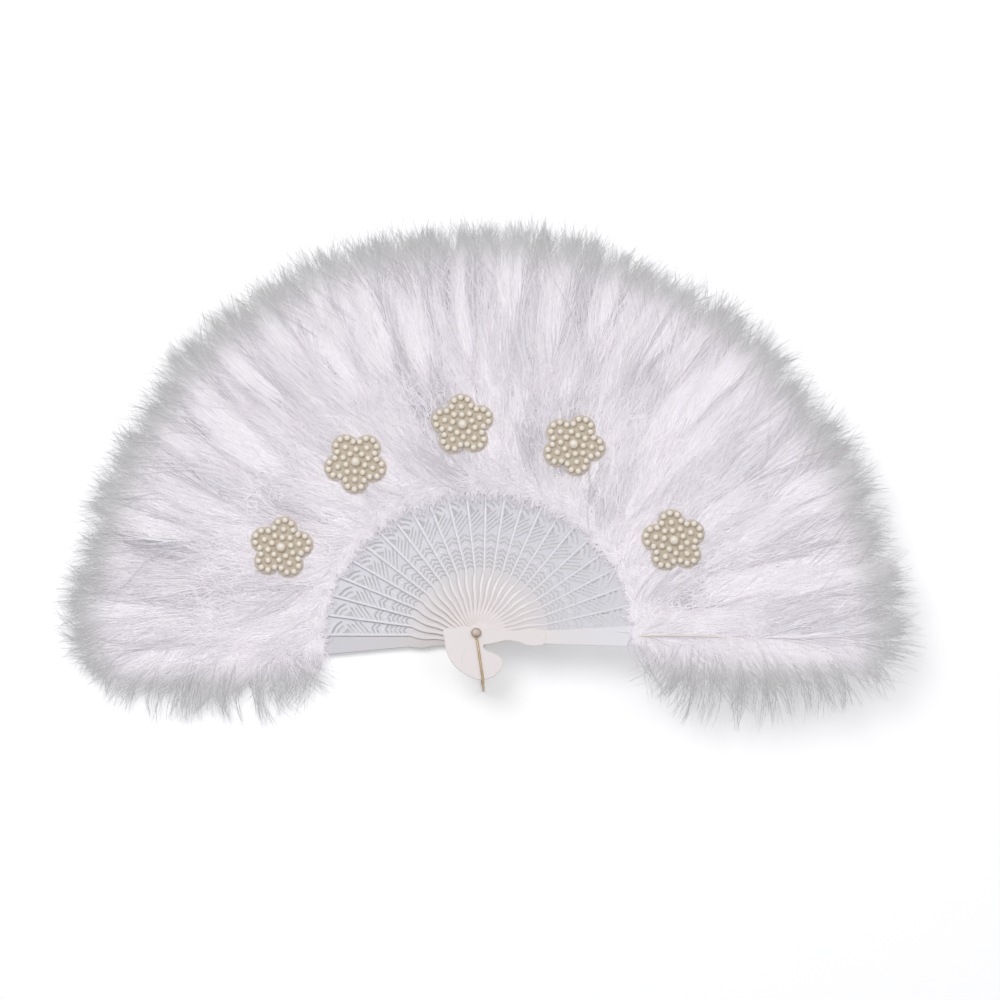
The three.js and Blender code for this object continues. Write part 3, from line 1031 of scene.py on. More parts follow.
bail_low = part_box("bail")[0].z / MM + WIRE_RADIUS
bail_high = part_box("bail")[1].z / MM - WIRE_RADIUS
bail = merged([tube_mesh(bail_route(bail_low, bail_high), WIRE_RADIUS, 3)])
smooth_by_angle(bail, WIRE_CREASE)
bail.transform(placed(math.radians(BAIL_ANGLE), 0))
add_piece("wire_bail", bail, "bail", "bail", [BRASS])
print("bail between heights %.2f and %.2f mm" % (bail_low, bail_high))

# %% [markdown]
# ## The pearl blossoms
#
# Five ornaments lie in an arc across the plumes: a felt cut like a five-petalled flower, with
# pearls sewn round each petal and one in its middle, and a collar of pearls round a larger one at
# the heart. A pearl is a small ball with few faces, since there are hundreds, and its gloss does
# the rest.

# %% Felt and pearl finishes
PEARL_FRONT = (0.93, 0.87, 0.77, 1)
PEARL_EDGE_PAINTED_SHADE = (0.68, 0.58, 0.45, 1)
PEARL_STAIN = (0.86, 0.78, 0.66, 1)
PAINTED_SHEEN_BLEND = 0.35


def pearl():
    """Pale where it is seen face on and browner round its edge: painted sheen and edge shade."""
    material, shader = new_material("cream_pearl_painted_sheen", 0.2, Coat_Weight=0.5, Specular_IOR_Level=0.6)
    nodes = material.node_tree.nodes
    links = material.node_tree.links
    # painted sheen and shade: the colour turns browner as the surface turns away from the view
    facing = nodes.new("ShaderNodeLayerWeight")
    facing.inputs["Blend"].default_value = PAINTED_SHEEN_BLEND
    ramp = nodes.new("ShaderNodeValToRGB")
    ramp.color_ramp.elements[0].color = PEARL_FRONT
    ramp.color_ramp.elements[1].color = PEARL_EDGE_PAINTED_SHADE
    mottle = add_group(material, MOTTLE, Stain=PEARL_STAIN, Scale=260.0, Amount=0.6)
    links.new(facing.outputs["Facing"], ramp.inputs["Fac"])
    links.new(ramp.outputs["Color"], mottle.inputs["Color"])
    links.new(mottle.outputs["Color"], shader.inputs["Base Color"])
    return material


FELT = stained_finish(
    "beige_felt",
    0.95,
    dict(Color=(0.74, 0.66, 0.55, 1), Stain=(0.42, 0.34, 0.26, 1), Scale=900.0, Amount=0.6),
    dict(Scale=2600.0, Strength=0.7, Depth=0.0003),
    Sheen_Weight=0.4,
)
PEARL = pearl()
print("blossom finishes:", FELT.name, PEARL.name)

# %% Blossom shape
PETAL_COUNT = 5
PETAL_RADIUS = 6.4
PETAL_RING_RADIUS = 8.3
FELT_THICK = 0.6
FELT_ROUND = 0.2
FELT_MARGIN = 2.1
PEARL_RADIUS = 1.45
PETAL_PEARL_ANGLES = (-88, -44, 0, 44, 88)
NOTCH_PLACE = 5.9
COLLAR_PLACE = 4.5
HEART_RADIUS = 2.3
PEARL_RISE_SHARE = 0.55
PEARL_SIDES = 10
PEARL_RINGS = 7
FOOT_RADIUS = 4.0
FOOT_SIDES = 18
FOOT_OFFSET = -4.5
FOOT_HEIGHT = 0.85
FOOT_LAP = 0.1
FOOT_ROUND = 0.1
BLOSSOM_CREASE = 60


def at_polar(radius, degrees):
    return radius * math.cos(math.radians(degrees)), radius * math.sin(math.radians(degrees))


def petal_outline(steps):
    """The felt's edge: five round lobes that meet in a notch."""
    half_angle = math.pi / PETAL_COUNT
    half_chord = PETAL_RING_RADIUS * math.sin(half_angle)
    lobe = 180 - math.degrees(math.acos(half_chord / PETAL_RADIUS) + half_angle)
    line = []
    for petal in range(PETAL_COUNT):
        turn = 360 * petal / PETAL_COUNT
        x, y = at_polar(PETAL_RING_RADIUS, turn)
        line += arc(x, y, PETAL_RADIUS, turn - lobe, turn + lobe, steps)[:-1]
    return line


def pearl_places():
    """Every pearl of a blossom as (x, y, radius)."""
    places = []
    for petal in range(PETAL_COUNT):
        turn = 360 * petal / PETAL_COUNT
        x, y = at_polar(PETAL_RING_RADIUS, turn)
        edge = [at_polar(PETAL_RADIUS - FELT_MARGIN, turn + angle) for angle in PETAL_PEARL_ANGLES]
        places += [(x, y)] + [(x + along, y + across) for along, across in edge]
        places.append(at_polar(COLLAR_PLACE, turn))
        places.append(at_polar(NOTCH_PLACE, turn + 180 / PETAL_COUNT))
    return [(x, y, PEARL_RADIUS) for x, y in places] + [(0, 0, HEART_RADIUS)]


def add_pearl(bm, x, y, height, radius):
    place = Matrix.Translation((x, y, height))
    sizes = dict(u_segments=PEARL_SIDES, v_segments=PEARL_RINGS, radius=radius)
    ball = bmesh.ops.create_uvsphere(bm, matrix=place, **sizes)
    for face in {face for vert in ball["verts"] for face in vert.link_faces}:
        face.material_index = 1


def blossom_mesh():
    """Heights count from the foot's underside. Face material 0 is felt and 1 is pearl."""
    felt_top = FOOT_HEIGHT + FELT_THICK
    felt = flat_piece([(petal_outline(8), False)], FOOT_HEIGHT, felt_top, FELT_ROUND, edge_steps=2)
    foot_edge = circle(0, FOOT_OFFSET, FOOT_RADIUS, FOOT_SIDES)
    foot = flat_piece([(foot_edge, False)], 0, FOOT_HEIGHT + FOOT_LAP, FOOT_ROUND)
    bm = bmesh.new()
    bm.from_mesh(felt)
    bm.from_mesh(foot)
    bmesh.ops.remove_doubles(bm, verts=bm.verts, dist=WELD_DISTANCE)
    for x, y, radius in pearl_places():
        add_pearl(bm, x, y, felt_top + radius * PEARL_RISE_SHARE, radius)
    bmesh.ops.recalc_face_normals(bm, faces=bm.faces)
    mesh = mesh_from(bm, "blossom")
    smooth_by_angle(mesh, BLOSSOM_CREASE)
    return mesh


print("pearls in a blossom:", len(pearl_places()))

# %% The blossoms in their places
BLOSSOM_STICKS = (3, 8, 12, 16, 20)
BLOSSOM_PLACE = 97.5
blossom_centres = []
for index, number in enumerate(BLOSSOM_STICKS, start=1):
    node = f"blossom_{index}"
    low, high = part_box(node)
    turn = stick_angle(number) + math.radians(STEP_ANGLE / 2)
    mesh = blossom_mesh()
    mesh.transform(Matrix.Translation((BLOSSOM_PLACE, 0, 0)))
    mesh.transform(placed(turn, low.z / MM))
    name = f"pearl_blossom_{index}"
    piece = add_piece(name, mesh, f"blade_{number:02d}", node, [FELT, PEARL])
    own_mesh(piece)
    centre = ((low + high) / 2) / MM
    blossom_centres.append((centre.x, centre.y, low.z / MM + FOOT_HEIGHT))
print("blossoms:", len(blossom_centres))

# %% [markdown]
# ## The feathers
#
# A marabou feather is a thin quill with long soft barbs on both sides. The barbs gather in locks,
# and each lock bends towards the feather's tip, so the open fan looks like combed fur with shade
# between the locks. Near its root a feather has short down that sticks out every way and hides the
# ends of the lace. Fur could be made with a hair system, but barbs made as tapered curves keep real
# geometry, which folds with the fan and can be exported. Every barb here is a curve of a few points
# with a three-sided section, bent by a quadratic curve between its root, a middle and its end.
#
# Loose barbs that cross at every depth would shade each other until white fur looks grey. Real
# barbs lie close, in smooth layers, so here all the barbs of a feather follow one gently waved
# surface, and stand off it by less than their own width. A faint glow of the barb's own colour is
# painted light for the light that real fur passes on inside itself. Two values are stored on every
# point: tone, which differs at random from barb to barb and from lock to lock, and also carries
# painted shade on the locks in the surface's hollows and painted light on the feathers at the
# sides; and rim, a painted grey shade that grows towards the plume's thin edge and low under the
# guards.

# %% Feather finish
DEEP_SHADE = (0.31, 0.29, 0.33, 1)
FUR_WHITE = (0.995, 0.95, 0.995, 1)
RIM_PAINTED_GREY = (0.60, 0.595, 0.595, 1)
FUR_STAIN = (0.97, 0.94, 0.965, 1)
INNER_GLOW = 0.22


def feather_material():
    material, shader = new_material("white_feather", 0.8, Emission_Strength=INNER_GLOW)
    nodes = material.node_tree.nodes
    links = material.node_tree.links
    # the tone mixes the deep shade into the white; besides random tone it holds painted shade and
    # light
    tone = nodes.new("ShaderNodeAttribute")
    tone.attribute_name = "tone"
    depth = nodes.new("ShaderNodeMix")
    depth.data_type = "RGBA"
    depth.inputs[6].default_value = DEEP_SHADE
    depth.inputs[7].default_value = FUR_WHITE
    # painted shade: the rim mixes the colour towards grey near the plume's thin edge and low under
    # the guards
    rim = nodes.new("ShaderNodeAttribute")
    rim.attribute_name = "rim"
    edge = nodes.new("ShaderNodeMix")
    edge.data_type = "RGBA"
    edge.inputs[7].default_value = RIM_PAINTED_GREY
    mottle = add_group(material, MOTTLE, Stain=FUR_STAIN, Scale=26.0, Amount=0.4)
    links.new(tone.outputs["Fac"], depth.inputs["Factor"])
    links.new(depth.outputs[2], mottle.inputs["Color"])
    links.new(mottle.outputs["Color"], edge.inputs[6])
    links.new(rim.outputs["Fac"], edge.inputs["Factor"])
    links.new(edge.outputs[2], shader.inputs["Base Color"])
    links.new(edge.outputs[2], shader.inputs["Emission Color"])
    return material


FEATHER = feather_material()
QUILL = stained_finish(
    "cream_quill",
    0.35,
    dict(Color=(0.93, 0.89, 0.83, 1), Stain=(0.80, 0.72, 0.60, 1), Scale=300.0, Amount=0.5),
    dict(Scale=1800.0, Strength=0.15, Depth=0.0001),
)
print("feather finishes:", FEATHER.name, QUILL.name)

# %% [markdown]
# ## The plume's outline
#
# The open fan isn't quite round: the plume reaches farther above and to the right than to the left,
# and under the guards it turns in. The outline is kept as pairs of an angle round the pivot and a
# radius, and every barb is cut back to it with a little slack of its own, which makes the edge
# ragged. Near the outline, and low under the guards, the fur thins out, and a painted grey shade
# darkens it there.

# %% Outline
OUTLINE = (
    (-24, 100), (-20.5, 126), (-17.4, 140), (-14, 154), (-12, 167), (-9, 181), (-4, 189),
    (3, 190), (15, 189), (45, 191), (75, 193), (100, 194), (130, 192), (150, 187), (165, 184),
    (175, 188), (182, 184), (188.4, 173), (192.5, 162), (195, 150), (198, 126), (201, 110),
    (206, 97),
)
OUTLINE_ANGLES, OUTLINE_RADII = zip(*OUTLINE)
RIM_START = 24.0
RIM_DEPTH = 16.0
UNDERSIDE_START = 8.0
UNDERSIDE_DEPTH = 15.0
LEAST_ANGLE = -80        # lower angles count on past the left end of the fan


def outline_radius(x, y):
    angle = np.degrees(np.arctan2(y, x))
    angle = np.where(angle < LEAST_ANGLE, angle + 360, angle)
    return np.interp(angle, OUTLINE_ANGLES, OUTLINE_RADII)


def smooth(value):
    value = np.clip(value, 0, 1)
    return value * value * (3 - 2 * value)


def rim_painted_shade_share(x, y):
    """How near a point is to the plume's thin edge, for painted grey shade: 0 well inside, 1 at the
    edge.
    """
    outer = smooth((np.hypot(x, y) - outline_radius(x, y) + RIM_START) / RIM_DEPTH)
    under = smooth((-y - UNDERSIDE_START) / UNDERSIDE_DEPTH)
    return np.maximum(outer, under)


print("outline: %d radii, %d to %d mm" % (len(OUTLINE), min(OUTLINE_RADII), max(OUTLINE_RADII)))

# %% [markdown]
# ### Five kinds of barb
#
# A feather is grown along +X and turned into its place afterwards. Each function below grows one
# kind of barb and gives three results: the guides, an array of shape (3, barbs, 3) that holds each
# barb's root, middle and end; each barb's tone; and its slack past the outline. Shares run from 0
# at the feather's root to 1 at its tip. The small numbers inside the functions are parts of a
# length and amounts of scatter.

# %% How a barb bends
BARB_POINTS = 5
CURVE_TIMES = np.linspace(0, 1, BARB_POINTS)
WAVE_SIZE = 0.9
WAVE_TURNS = 1.1
QUILL_START = 72.0
QUILL_END = 166.0
BARB_FLOOR = 0.45


def bent(guides, rng):
    """Points on a slightly wavy quadratic curve for each barb, as an array (barbs, points, 3)."""
    root, middle, end = guides
    t = CURVE_TIMES[None, :, None]
    points = (1 - t) ** 2 * root[:, None] + 2 * t * (1 - t) * middle[:, None] + t * t * end[:, None]
    across = np.stack([root[:, 1] - end[:, 1], end[:, 0] - root[:, 0]], axis=1)
    across /= np.linalg.norm(across, axis=1)[:, None]
    n = len(root)
    phase, size = rng.uniform(0, 2 * math.pi, (n, 1)), rng.normal(0, WAVE_SIZE, (n, 1))
    turns = 2 * math.pi * WAVE_TURNS * CURVE_TIMES[None]
    wave = size * np.sin(phase + turns) * CURVE_TIMES[None]
    points[..., :2] += wave[..., None] * across[:, None]
    return points


def toward(angles, lengths):
    flat = np.stack([np.cos(angles), np.sin(angles), np.zeros_like(angles)], axis=1)
    return flat * lengths[:, None]


def on_quill(stations):
    roots = np.zeros((len(stations), 3))
    roots[:, 0] = stations
    return roots


def joined(parts):
    guides = np.concatenate([part[0] for part in parts], axis=1)
    return guides, *(np.concatenate([part[i] for part in parts]) for i in (1, 2))


# %% Locks of long barbs
PLUME_LOCKS = 30
BARBS_PER_LOCK = 29
ROOT_SCATTER = 2.6
TIP_SCATTER = (3.6, 1.4, 0.04)
LOOSE_SCATTER = 3.5      # added across the lock near the feather's root
LEAN_LOSS = 0.68         # how much less a lock leans at the feather's tip
START_LEAN = 22          # degrees more than at the end, so that a lock bends towards the tip
HILLS = 8                # the surface that the locks follow rises and sinks this often
HILL_HEIGHT = 0.6
FLOOR_SCATTER = 0.4
BARB_ARCH = 2.2
PAINTED_HOLLOW_SHADE = 0.2
PAINTED_HILL_LIGHT = 0.75


def lock_barbs(rng, side, reach, lean):
    """The long barbs on one side of the quill, gathered in locks.

    reach is the barbs' length beside the quill's middle, and lean the angle in degrees at which
    they end near its root, counted from the quill."""
    locks = []
    hills = rng.uniform(0, 1, HILLS)
    for i in range(PLUME_LOCKS):
        n = BARBS_PER_LOCK
        share = (i + rng.uniform(0.1, 0.9)) / PLUME_LOCKS
        loose = (1 - share) ** 2
        station = QUILL_START + (QUILL_END - QUILL_START) * share
        end_angle = math.radians(lean * (1 - LEAN_LOSS * share) + rng.normal(0, 4 + 10 * loose))
        length = reach * (0.84 + 0.3 * math.sin(math.pi * share)) * rng.uniform(0.8, 1.12)
        hill = np.interp(share, np.linspace(0, 1, HILLS), hills)
        floor = BARB_FLOOR + rng.uniform(0, FLOOR_SCATTER)
        root = on_quill(station + rng.normal(0, ROOT_SCATTER, n))
        root[:, 2] = floor
        tip = np.array([station, 0, 0]) + toward(np.array([side * end_angle]), np.array([length]))
        scatter = np.array(TIP_SCATTER) + (0, LOOSE_SCATTER * loose, 0)
        end = tip + rng.normal(0, 1, (n, 3)) * scatter
        end[:, 2] += floor + HILL_HEIGHT * hill
        start_angle = end_angle + math.radians(START_LEAN) + rng.normal(0, 0.1 + 0.25 * loose, n)
        middle = root + toward(side * start_angle, np.full(n, length * 0.5))
        middle[:, 2] += BARB_ARCH * (0.5 + 0.5 * hill) + rng.normal(0, 0.04, n)
        # painted shade and light: locks in the surface's hollows get a darker tone, those on its
        # hills a paler one
        tone = PAINTED_HOLLOW_SHADE + PAINTED_HILL_LIGHT * hill ** 0.6
        tone = tone + rng.uniform(-0.15, 0.15) + rng.uniform(-0.2, 0.2, n)
        slack = rng.uniform(-8, 0) + rng.normal(0, 1.4, n)
        locks.append((np.stack([root, middle, end]), tone, slack))
    return joined(locks)


print("barbs in the locks of one side:", PLUME_LOCKS * BARBS_PER_LOCK)

# %% Down at the root
DOWN_BARBS = 480
BACK_DOWN_BARBS = 150
DOWN_SETBACK = 1.5
DOWN_SPAN = 56


def down_barbs(rng, lift, overhang):
    """Short soft down round the feather's root, sticking out every way, thinner farther out.

    The first barbs point back over the lace, as far as overhang says."""
    n, back = DOWN_BARBS, BACK_DOWN_BARBS
    out = rng.uniform(0, 1, n) ** 1.8
    out[:back] *= 0.05
    root = on_quill(QUILL_START - DOWN_SETBACK + DOWN_SPAN * out)
    root[:, 1] = rng.normal(0, 1.6 + 5 * out)
    root[:, 2] = BARB_FLOOR + 1.2 * out
    angle = np.radians(rng.normal(0, 62 - 32 * out))
    angle[:back] += math.pi
    length = rng.uniform(5, 14, n) * rng.uniform(0.75, 1.15)
    length[:back] = rng.uniform(1.5, 3 + overhang, back)
    end = root + toward(angle, length)
    end[:, 2] += lift * 0.4 + rng.normal(0, 0.12, n)
    middle = root + toward(angle + rng.normal(0, 0.55, n), length * 0.5)
    middle[:, 2] += lift * 0.8 + rng.normal(0, 0.12, n)
    return np.stack([root, middle, end]), rng.uniform(0.6, 1, n), rng.normal(-4, 2, n)


# %% Fringe and strays
FRINGE_BARBS = 190
FRINGE_START = 124
FRINGE_ENDS = (192, 204)
STRAY_BARBS = 90
STRAY_START = QUILL_START + 12
STRAY_ANGLES = (4, 46)


def fringe_barbs(rng):
    """Single barbs near the tip that make the ragged edge."""
    n = FRINGE_BARBS
    root = on_quill(rng.uniform(FRINGE_START, QUILL_END + 6, n))
    root[:, 2] = BARB_FLOOR + 0.4
    angle = rng.normal(0, 0.33, n)
    length = rng.uniform(*FRINGE_ENDS, n) - root[:, 0]
    end = root + toward(angle, length) + rng.normal(0, 1.6, (n, 3))
    end[:, 2] = rng.uniform(0.2, 1.6, n)
    middle = root + toward(angle * 0.7 + rng.normal(0, 0.14, n), length * 0.55)
    middle[:, 2] += rng.uniform(0.9, 1.5, n)
    return np.stack([root, middle, end]), rng.uniform(0.3, 1, n), rng.uniform(-6, 7, n)


def stray_barbs(rng, reach):
    """Long barbs that left their lock."""
    n = STRAY_BARBS
    side = rng.choice((-1.0, 1.0), n)
    root = on_quill(rng.uniform(STRAY_START, QUILL_END, n))
    angle = side * np.radians(rng.uniform(*STRAY_ANGLES, n))
    length = rng.uniform(0.55, 1.05, n) * reach
    end = root + toward(angle, length)
    end[:, 2] += rng.uniform(0.8, 1.8, n)
    middle = root + toward(angle + side * 0.4, length * 0.5)
    middle[:, 2] += rng.uniform(1.8, 2.8, n)
    return np.stack([root, middle, end]), rng.uniform(0.7, 1, n), rng.normal(-1, 3, n)


# %% Wisps under the guards
WISPS = 46
BARBS_PER_WISP = 9
WISP_START = 78
WISP_SPAN = 84
WISP_DROP = (30, 45)
WISP_SWAY = (-9, 36)     # how far past its root a wisp ends at share 0, and the growth to share 1


def wisp_barbs(rng, side):
    """Barbs that hang from a guard feather's broad side and end in pointed wisps.

    Beside the guard's blade they are short, and they swing farther out towards the tip."""
    wisps = []
    for _ in range(WISPS):
        n = BARBS_PER_WISP
        share = rng.uniform(0, 1)
        station = WISP_START + WISP_SPAN * share
        drop = rng.uniform(*WISP_DROP) * (1 - 0.22 * share * share)
        drop = drop * (0.5 + 0.5 * smooth(share * 3.5))
        sway = WISP_SWAY[0] + WISP_SWAY[1] * share + rng.normal(0, 5)
        tip = np.array([station + sway, side * drop, rng.uniform(0.3, 2.5)])
        root = on_quill(station + rng.normal(0, 3.2, n))
        end = tip + rng.normal(0, 1, (n, 3)) * np.array([1.1, 2.4, 0.5])
        middle = (root + end) / 2 + np.array([rng.uniform(3, 11), side * rng.uniform(1, 6), 2.0])
        middle += rng.normal(0, 1.2, (n, 3))
        tone, slack = rng.uniform(0.2, 0.9, n), rng.uniform(-5, 4, n)
        wisps.append((np.stack([root, middle, end]), tone, slack))
    return joined(wisps)


print("barbs in the wisps of one guard's feather:", WISPS * BARBS_PER_WISP)

# %% Barbs keep to the outline and make room for the blossoms
BLOSSOM_ROOM = 15.0
ROOM_EDGE = 5.0
BARB_MARGIN = 0.25
LEAST_SHARE = 0.25
FLOOR_ROOM = 0.3


def trimmed(guides, slack):
    """Barbs that end past the outline are drawn back towards their roots."""
    root, middle, end = guides
    excess = np.hypot(end[:, 0], end[:, 1]) - outline_radius(end[:, 0], end[:, 1]) - slack
    length = np.linalg.norm(end - root, axis=1)
    share = np.clip(1 - np.maximum(excess, 0) / length, LEAST_SHARE, 1)[:, None]
    return np.stack([root, root + (middle - root) * share, root + (end - root) * share])


def press_under_blossoms(points, margin):
    """Barbs under a blossom lie below its felt. Points are in millimetres, in the fan's place."""
    for x, y, felt_bottom in blossom_centres:
        distance = np.hypot(points[..., 0] - x, points[..., 1] - y)
        inside = smooth((BLOSSOM_ROOM + ROOM_EDGE - distance) / ROOM_EDGE)
        too_high = np.maximum(points[..., 2] - (felt_bottom - margin), 0)
        points[..., 2] -= too_high * inside
    return points


def into_place(points, angle, height):
    c, s = math.cos(angle), math.sin(angle)
    x, y = points[..., 0].copy(), points[..., 1].copy()
    points[..., 0] = c * x - s * y
    points[..., 1] = s * x + c * y
    points[..., 2] += height
    return points


# %% [markdown]
# ### The undercoat
#
# Between its long barbs a marabou feather is filled with down too fine to model barb by barb. It
# is what makes the fur bright and closed. A thin rippled sheet under the barbs stands for it. Its
# ripples run the way the barbs run, its edge is ragged, and it stops short of the plume's edge. A
# guard's feather lies outermost when the fan is shut, so its sheet is narrower on the narrow side,
# where few barbs would cover it.

# %% Undercoat
SHEET_STATIONS = 60
SHEET_ACROSS = 22
SHEET_START = 71.5
SHEET_END = 168.0
SHEET_HALF_WIDTH = 15.0
SHEET_BROAD_WIDTH = 19.0
SHEET_NARROW_WIDTH = 9.0
SHEET_SWEEP = 9.0
SHEET_INSET = 15.0
SHEET_THICK = 0.12
SHEET_FLOOR = 0.3
SHEET_ARCH = 0.3
SHEET_MARGIN = 0.5
SHEET_TONES = (0.45, 0.95)
EDGE_RAGGEDNESS = 0.09
RIPPLE_PITCH = 6.5
RIPPLE_SLANT = 1.9
RIPPLE_HEIGHT = 0.1


def undercoat_mesh(rng, broad_side, angle, height):
    bm = bmesh.new()
    bmesh.ops.create_grid(bm, x_segments=SHEET_STATIONS, y_segments=SHEET_ACROSS, size=0.5)
    bm.verts.ensure_lookup_table()
    flat = np.array([vert.co for vert in bm.verts])
    along, across = flat[:, 0] + 0.5, flat[:, 1] * 2
    broad = np.sign(across) == broad_side
    narrow_width = SHEET_NARROW_WIDTH if broad_side else SHEET_HALF_WIDTH
    width = np.where(broad, SHEET_BROAD_WIDTH, narrow_width)
    width = width * (0.3 + 0.7 * smooth(along * 3.5)) * (1 - 0.35 * smooth(along * 2 - 1))
    ragged = 1 + smooth(np.abs(across) * 4 - 3) * rng.normal(0, EDGE_RAGGEDNESS, len(along))
    points = np.zeros((len(along), 3))
    points[:, 0] = SHEET_START + (SHEET_END - SHEET_START) * along + SHEET_SWEEP * across * across
    points[:, 1] = across * width * ragged
    ripple = (points[:, 0] - RIPPLE_SLANT * np.abs(points[:, 1])) / RIPPLE_PITCH
    wave = np.sin(2 * math.pi * ripple + rng.uniform(0, 6))
    wave = wave + np.sin(3.7 * ripple + rng.uniform(0, 6))
    arch = SHEET_FLOOR + SHEET_ARCH * np.sin(math.pi * np.abs(across))
    points[:, 2] = arch + RIPPLE_HEIGHT * wave
    points = into_place(points, angle, height)
    radius = np.hypot(points[:, 0], points[:, 1])
    keep = np.minimum(1, (outline_radius(points[:, 0], points[:, 1]) - SHEET_INSET) / radius)
    points[:, :2] *= keep[:, None]
    points = press_under_blossoms(points, SHEET_MARGIN)
    points[:, 2] = np.maximum(points[:, 2], FLOOR_ROOM)
    for vert, place in zip(bm.verts, points):
        vert.co = place
    bmesh.ops.solidify(bm, geom=bm.faces[:], thickness=SHEET_THICK)
    bmesh.ops.recalc_face_normals(bm, faces=bm.faces)
    mesh = mesh_from(bm, "undercoat")
    store_values(mesh, rng.uniform(*SHEET_TONES, len(mesh.vertices)))
    smooth_all(mesh)
    return mesh


# %% [markdown]
# ### From points to a mesh
#
# All the barbs of a feather are splines of one curve, and a small triangle bevels them. A mesh is
# made from that curve, so each barb is a closed tapered prism of few faces. The tone and the rim
# are stored on its points in the order in which the curve makes them. The quill is a round tube
# that lies on the barbs near the root and sinks into them farther out.

# %% Barbs and quill
BARB_SIDES = 3
BARB_FLATNESS = 0.45
BARB_TAPER = (0.8, 1.0, 0.85, 0.55, 0.16)
THIN_BARB = 0.15
THICK_BARB = 0.3
RIM_PAINTED_SHADE_LIMITS = (1.15, 0.4)     # the rim's painted grey shade on a dark barb, and how much less on a pale one
QUILL_RADIUS = 0.62
QUILL_FLOOR = 0.4
QUILL_POINTS = 14
QUILL_SETBACK = 0.4
QUILL_LENGTH = QUILL_END + 8 - QUILL_START
QUILL_MARGIN = QUILL_RADIUS + 0.3
QUILL_TAPER = 0.85


def triangle_section():
    curve = bpy.data.curves.new("barb_section", "CURVE")
    curve.dimensions = "2D"
    spline = curve.splines.new("POLY")
    spline.points.add(BARB_SIDES - 1)
    spline.use_cyclic_u = True
    for knot, (x, y) in zip(spline.points, arc(0, 0, 1, -90, -450, BARB_SIDES)):
        knot.co = (x, y * BARB_FLATNESS, 0, 1)
    section = bpy.data.objects.new("barb_section", curve)
    scene.collection.objects.link(section)
    return section


SECTION = triangle_section()


def store_values(mesh, tone):
    """Stores each point's tone and rim on a mesh that is in its place, in millimetres.

    The rim's painted grey shade reaches farther in on the barbs that are dark already."""
    places = np.empty(len(mesh.vertices) * 3, dtype=np.float32)
    mesh.vertices.foreach_get("co", places)
    places = places.reshape(-1, 3)
    # painted shade: the grey rim share, larger on the darker barbs
    rim = rim_painted_shade_share(places[:, 0], places[:, 1]) * (RIM_PAINTED_SHADE_LIMITS[0] - RIM_PAINTED_SHADE_LIMITS[1] * tone)
    for name, value in (("tone", np.clip(tone, 0, 1)), ("rim", np.clip(rim, 0, 1))):
        attribute = mesh.attributes.new(name, "FLOAT", "POINT")
        attribute.data.foreach_set("value", value.astype(np.float32))


def barb_mesh(points, radii, tone):
    """One mesh of many tapered barbs, with each point's tone and rim."""
    curve = path_curve("barbs")
    curve.bevel_mode = "OBJECT"
    curve.bevel_object = SECTION
    curve.twist_mode = "Z_UP"
    flat = np.concatenate([points, np.ones(points.shape[:2] + (1,))], axis=2).astype(np.float32)
    for place, radius in zip(flat, radii):
        spline = curve.splines.new("POLY")
        spline.points.add(BARB_POINTS - 1)
        spline.points.foreach_set("co", place.ravel())
        spline.points.foreach_set("radius", radius)
    mesh = mesh_from_curve(curve, "barbs")
    caps, rings = 2 * BARB_SIDES, BARB_POINTS * BARB_SIDES
    # The caps' points come first in the mesh, the last barb's before the others.
    store_values(mesh, np.concatenate([np.repeat(tone[::-1], caps), np.repeat(tone, rings)]))
    return mesh


def quill_mesh(angle, height, rise):
    """The quill, a tapered tube that lies on the barbs near its root and sinks into them."""
    share = np.linspace(0, 1, QUILL_POINTS)
    points = on_quill(QUILL_START - QUILL_SETBACK + QUILL_LENGTH * share)
    points[:, 2] = QUILL_FLOOR + rise * smooth(share * 12) * (1 - smooth(share * 4 - 0.9))
    points = press_under_blossoms(into_place(points, angle, height), QUILL_MARGIN)
    mesh = tube_mesh(points, QUILL_RADIUS, 1, 1.0 - QUILL_TAPER * share)
    smooth_all(mesh)
    return mesh


# %% Every feather in its place
FEATHER_REACH = 40.0
BROAD_REACH = 28.0
LEAN = 22.0
BROAD_LEAN = 66.0
TOP_OVERHANG = 8.0
OUTLINE_BUMPS = 1.8
SIDE_PAINTED_LIGHT = 0.15    # painted light: the feathers at the sides are made whiter than those at the top
DOWN_LIFT = 2.4
FRONT_DOWN_LIFT = 0.9
QUILL_RISE = 0.3
FRONT_QUILL_RISE = 2.6
FIRST_SEED = 400


def feather_guides(rng, broad_side, down_lift, overhang):
    """All the barbs of one feather. broad_side is 1, -1, or 0 for an even feather."""
    parts = []
    for side in (1, -1):
        reach, lean = (BROAD_REACH, BROAD_LEAN) if side == broad_side else (FEATHER_REACH, LEAN)
        parts.append(lock_barbs(rng, side, reach, lean))
    parts.append(stray_barbs(rng, FEATHER_REACH))
    parts.append(fringe_barbs(rng))
    parts.append(down_barbs(rng, down_lift, overhang))
    if broad_side:
        parts.append(wisp_barbs(rng, broad_side))
    return joined(parts)


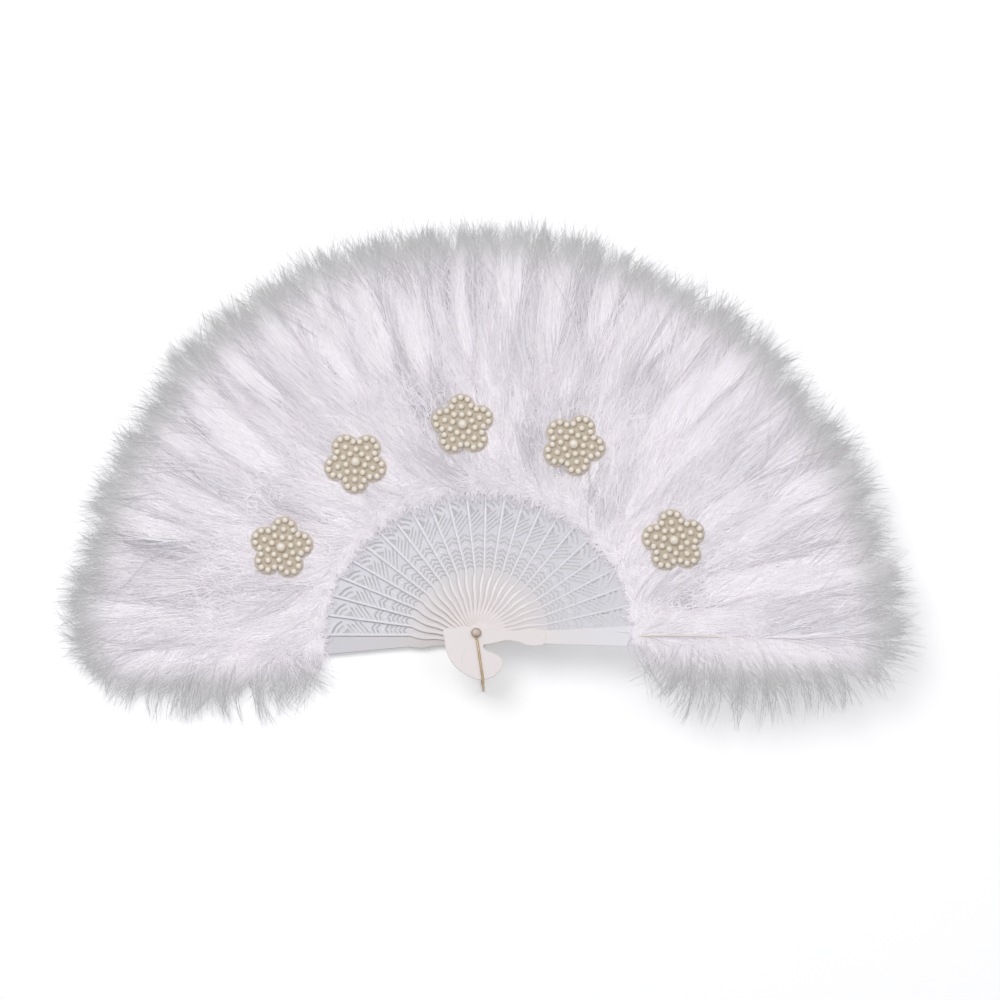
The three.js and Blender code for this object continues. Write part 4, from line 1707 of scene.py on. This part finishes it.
def add_feather(name, node, body, number, broad_side=0, down_lift=DOWN_LIFT, rise=QUILL_RISE):
    rng = np.random.default_rng(FIRST_SEED + number)
    angle, height = stick_angle(number), layer_height(node)
    overhang = TOP_OVERHANG * max(math.sin(angle), 0) ** 2 + rng.uniform(0, 4)
    guides, tone, slack = feather_guides(rng, broad_side, down_lift, overhang)
    slack += rng.normal(0, OUTLINE_BUMPS)
    # painted light: a paler tone for the feathers nearer the sides
    tone += SIDE_PAINTED_LIGHT * (abs(math.cos(angle)) - 0.5)
    points = bent(trimmed(into_place(guides, angle, height), slack), rng)
    points = press_under_blossoms(points, BARB_MARGIN)
    points[..., 2] = np.maximum(points[..., 2], FLOOR_ROOM)
    thickness = rng.uniform(THIN_BARB, THICK_BARB, len(tone))
    radii = (np.array(BARB_TAPER)[None, :] * thickness[:, None]).astype(np.float32)
    bm = bmesh.new()
    bm.from_mesh(barb_mesh(points, radii, tone))
    bm.from_mesh(undercoat_mesh(rng, broad_side, angle, height))
    barb_faces = len(bm.faces)
    bm.from_mesh(quill_mesh(angle, height, rise))
    bm.faces.ensure_lookup_table()
    for face in bm.faces[barb_faces:]:
        face.material_index = 1
    whole = mesh_from(bm, name)
    whole.transform(Matrix.Scale(MM, 4))
    piece = add_piece(name, whole, body, node, [FEATHER, QUILL])
    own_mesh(piece)
    return len(tone)


front_barbs = add_feather(
    "front_plume", "feather_front", "front_guard", 0, -1, FRONT_DOWN_LIFT, FRONT_QUILL_RISE
)
add_feather("back_plume", "feather_back", "back_guard", STICK_COUNT + 1, 1)
for number in STICK_NUMBERS:
    add_feather(f"plume_{number:02d}", f"feather_{number:02d}", f"blade_{number:02d}", number)
bpy.data.objects.remove(SECTION)
print("barbs in the front feather:", front_barbs)

# %% [markdown]
# ## The floor
#
# The photograph has a plain white ground. The floor is a large pale sheet just under the rivet. It
# glows a little to the camera only, so that it reads as white and still takes the fan's soft
# shadow.

# %% Floor
FLOOR_SIZE = 6.0
FLOOR_GAP = 0.0002
FLOOR_GLOW = 0.27
FLOOR_COLOUR = (0.9, 0.9, 0.9, 1)


def floor_material():
    colours = dict(Base_Color=FLOOR_COLOUR, Emission_Color=WHITE)
    material, shader = new_material("white_ground", 0.9, **colours)
    tree = material.node_tree
    strength = tree.nodes.new("ShaderNodeMath")
    strength.operation = "MULTIPLY"
    strength.inputs[1].default_value = FLOOR_GLOW
    tree.links.new(seen_by_camera(tree), strength.inputs[0])
    tree.links.new(strength.outputs[0], shader.inputs["Emission Strength"])
    return material


def make_floor():
    bm = bmesh.new()
    bmesh.ops.create_grid(bm, x_segments=1, y_segments=1, size=FLOOR_SIZE / 2)
    mesh = mesh_from(bm, "ground")
    mesh.transform(Matrix.Translation((0, 0, -FLOOR_GAP)))
    mesh.materials.append(floor_material())
    ground = bpy.data.objects.new("ground", mesh)
    scene.collection.objects.link(ground)


make_floor()

# %% Finish
print("the fan is dressed")
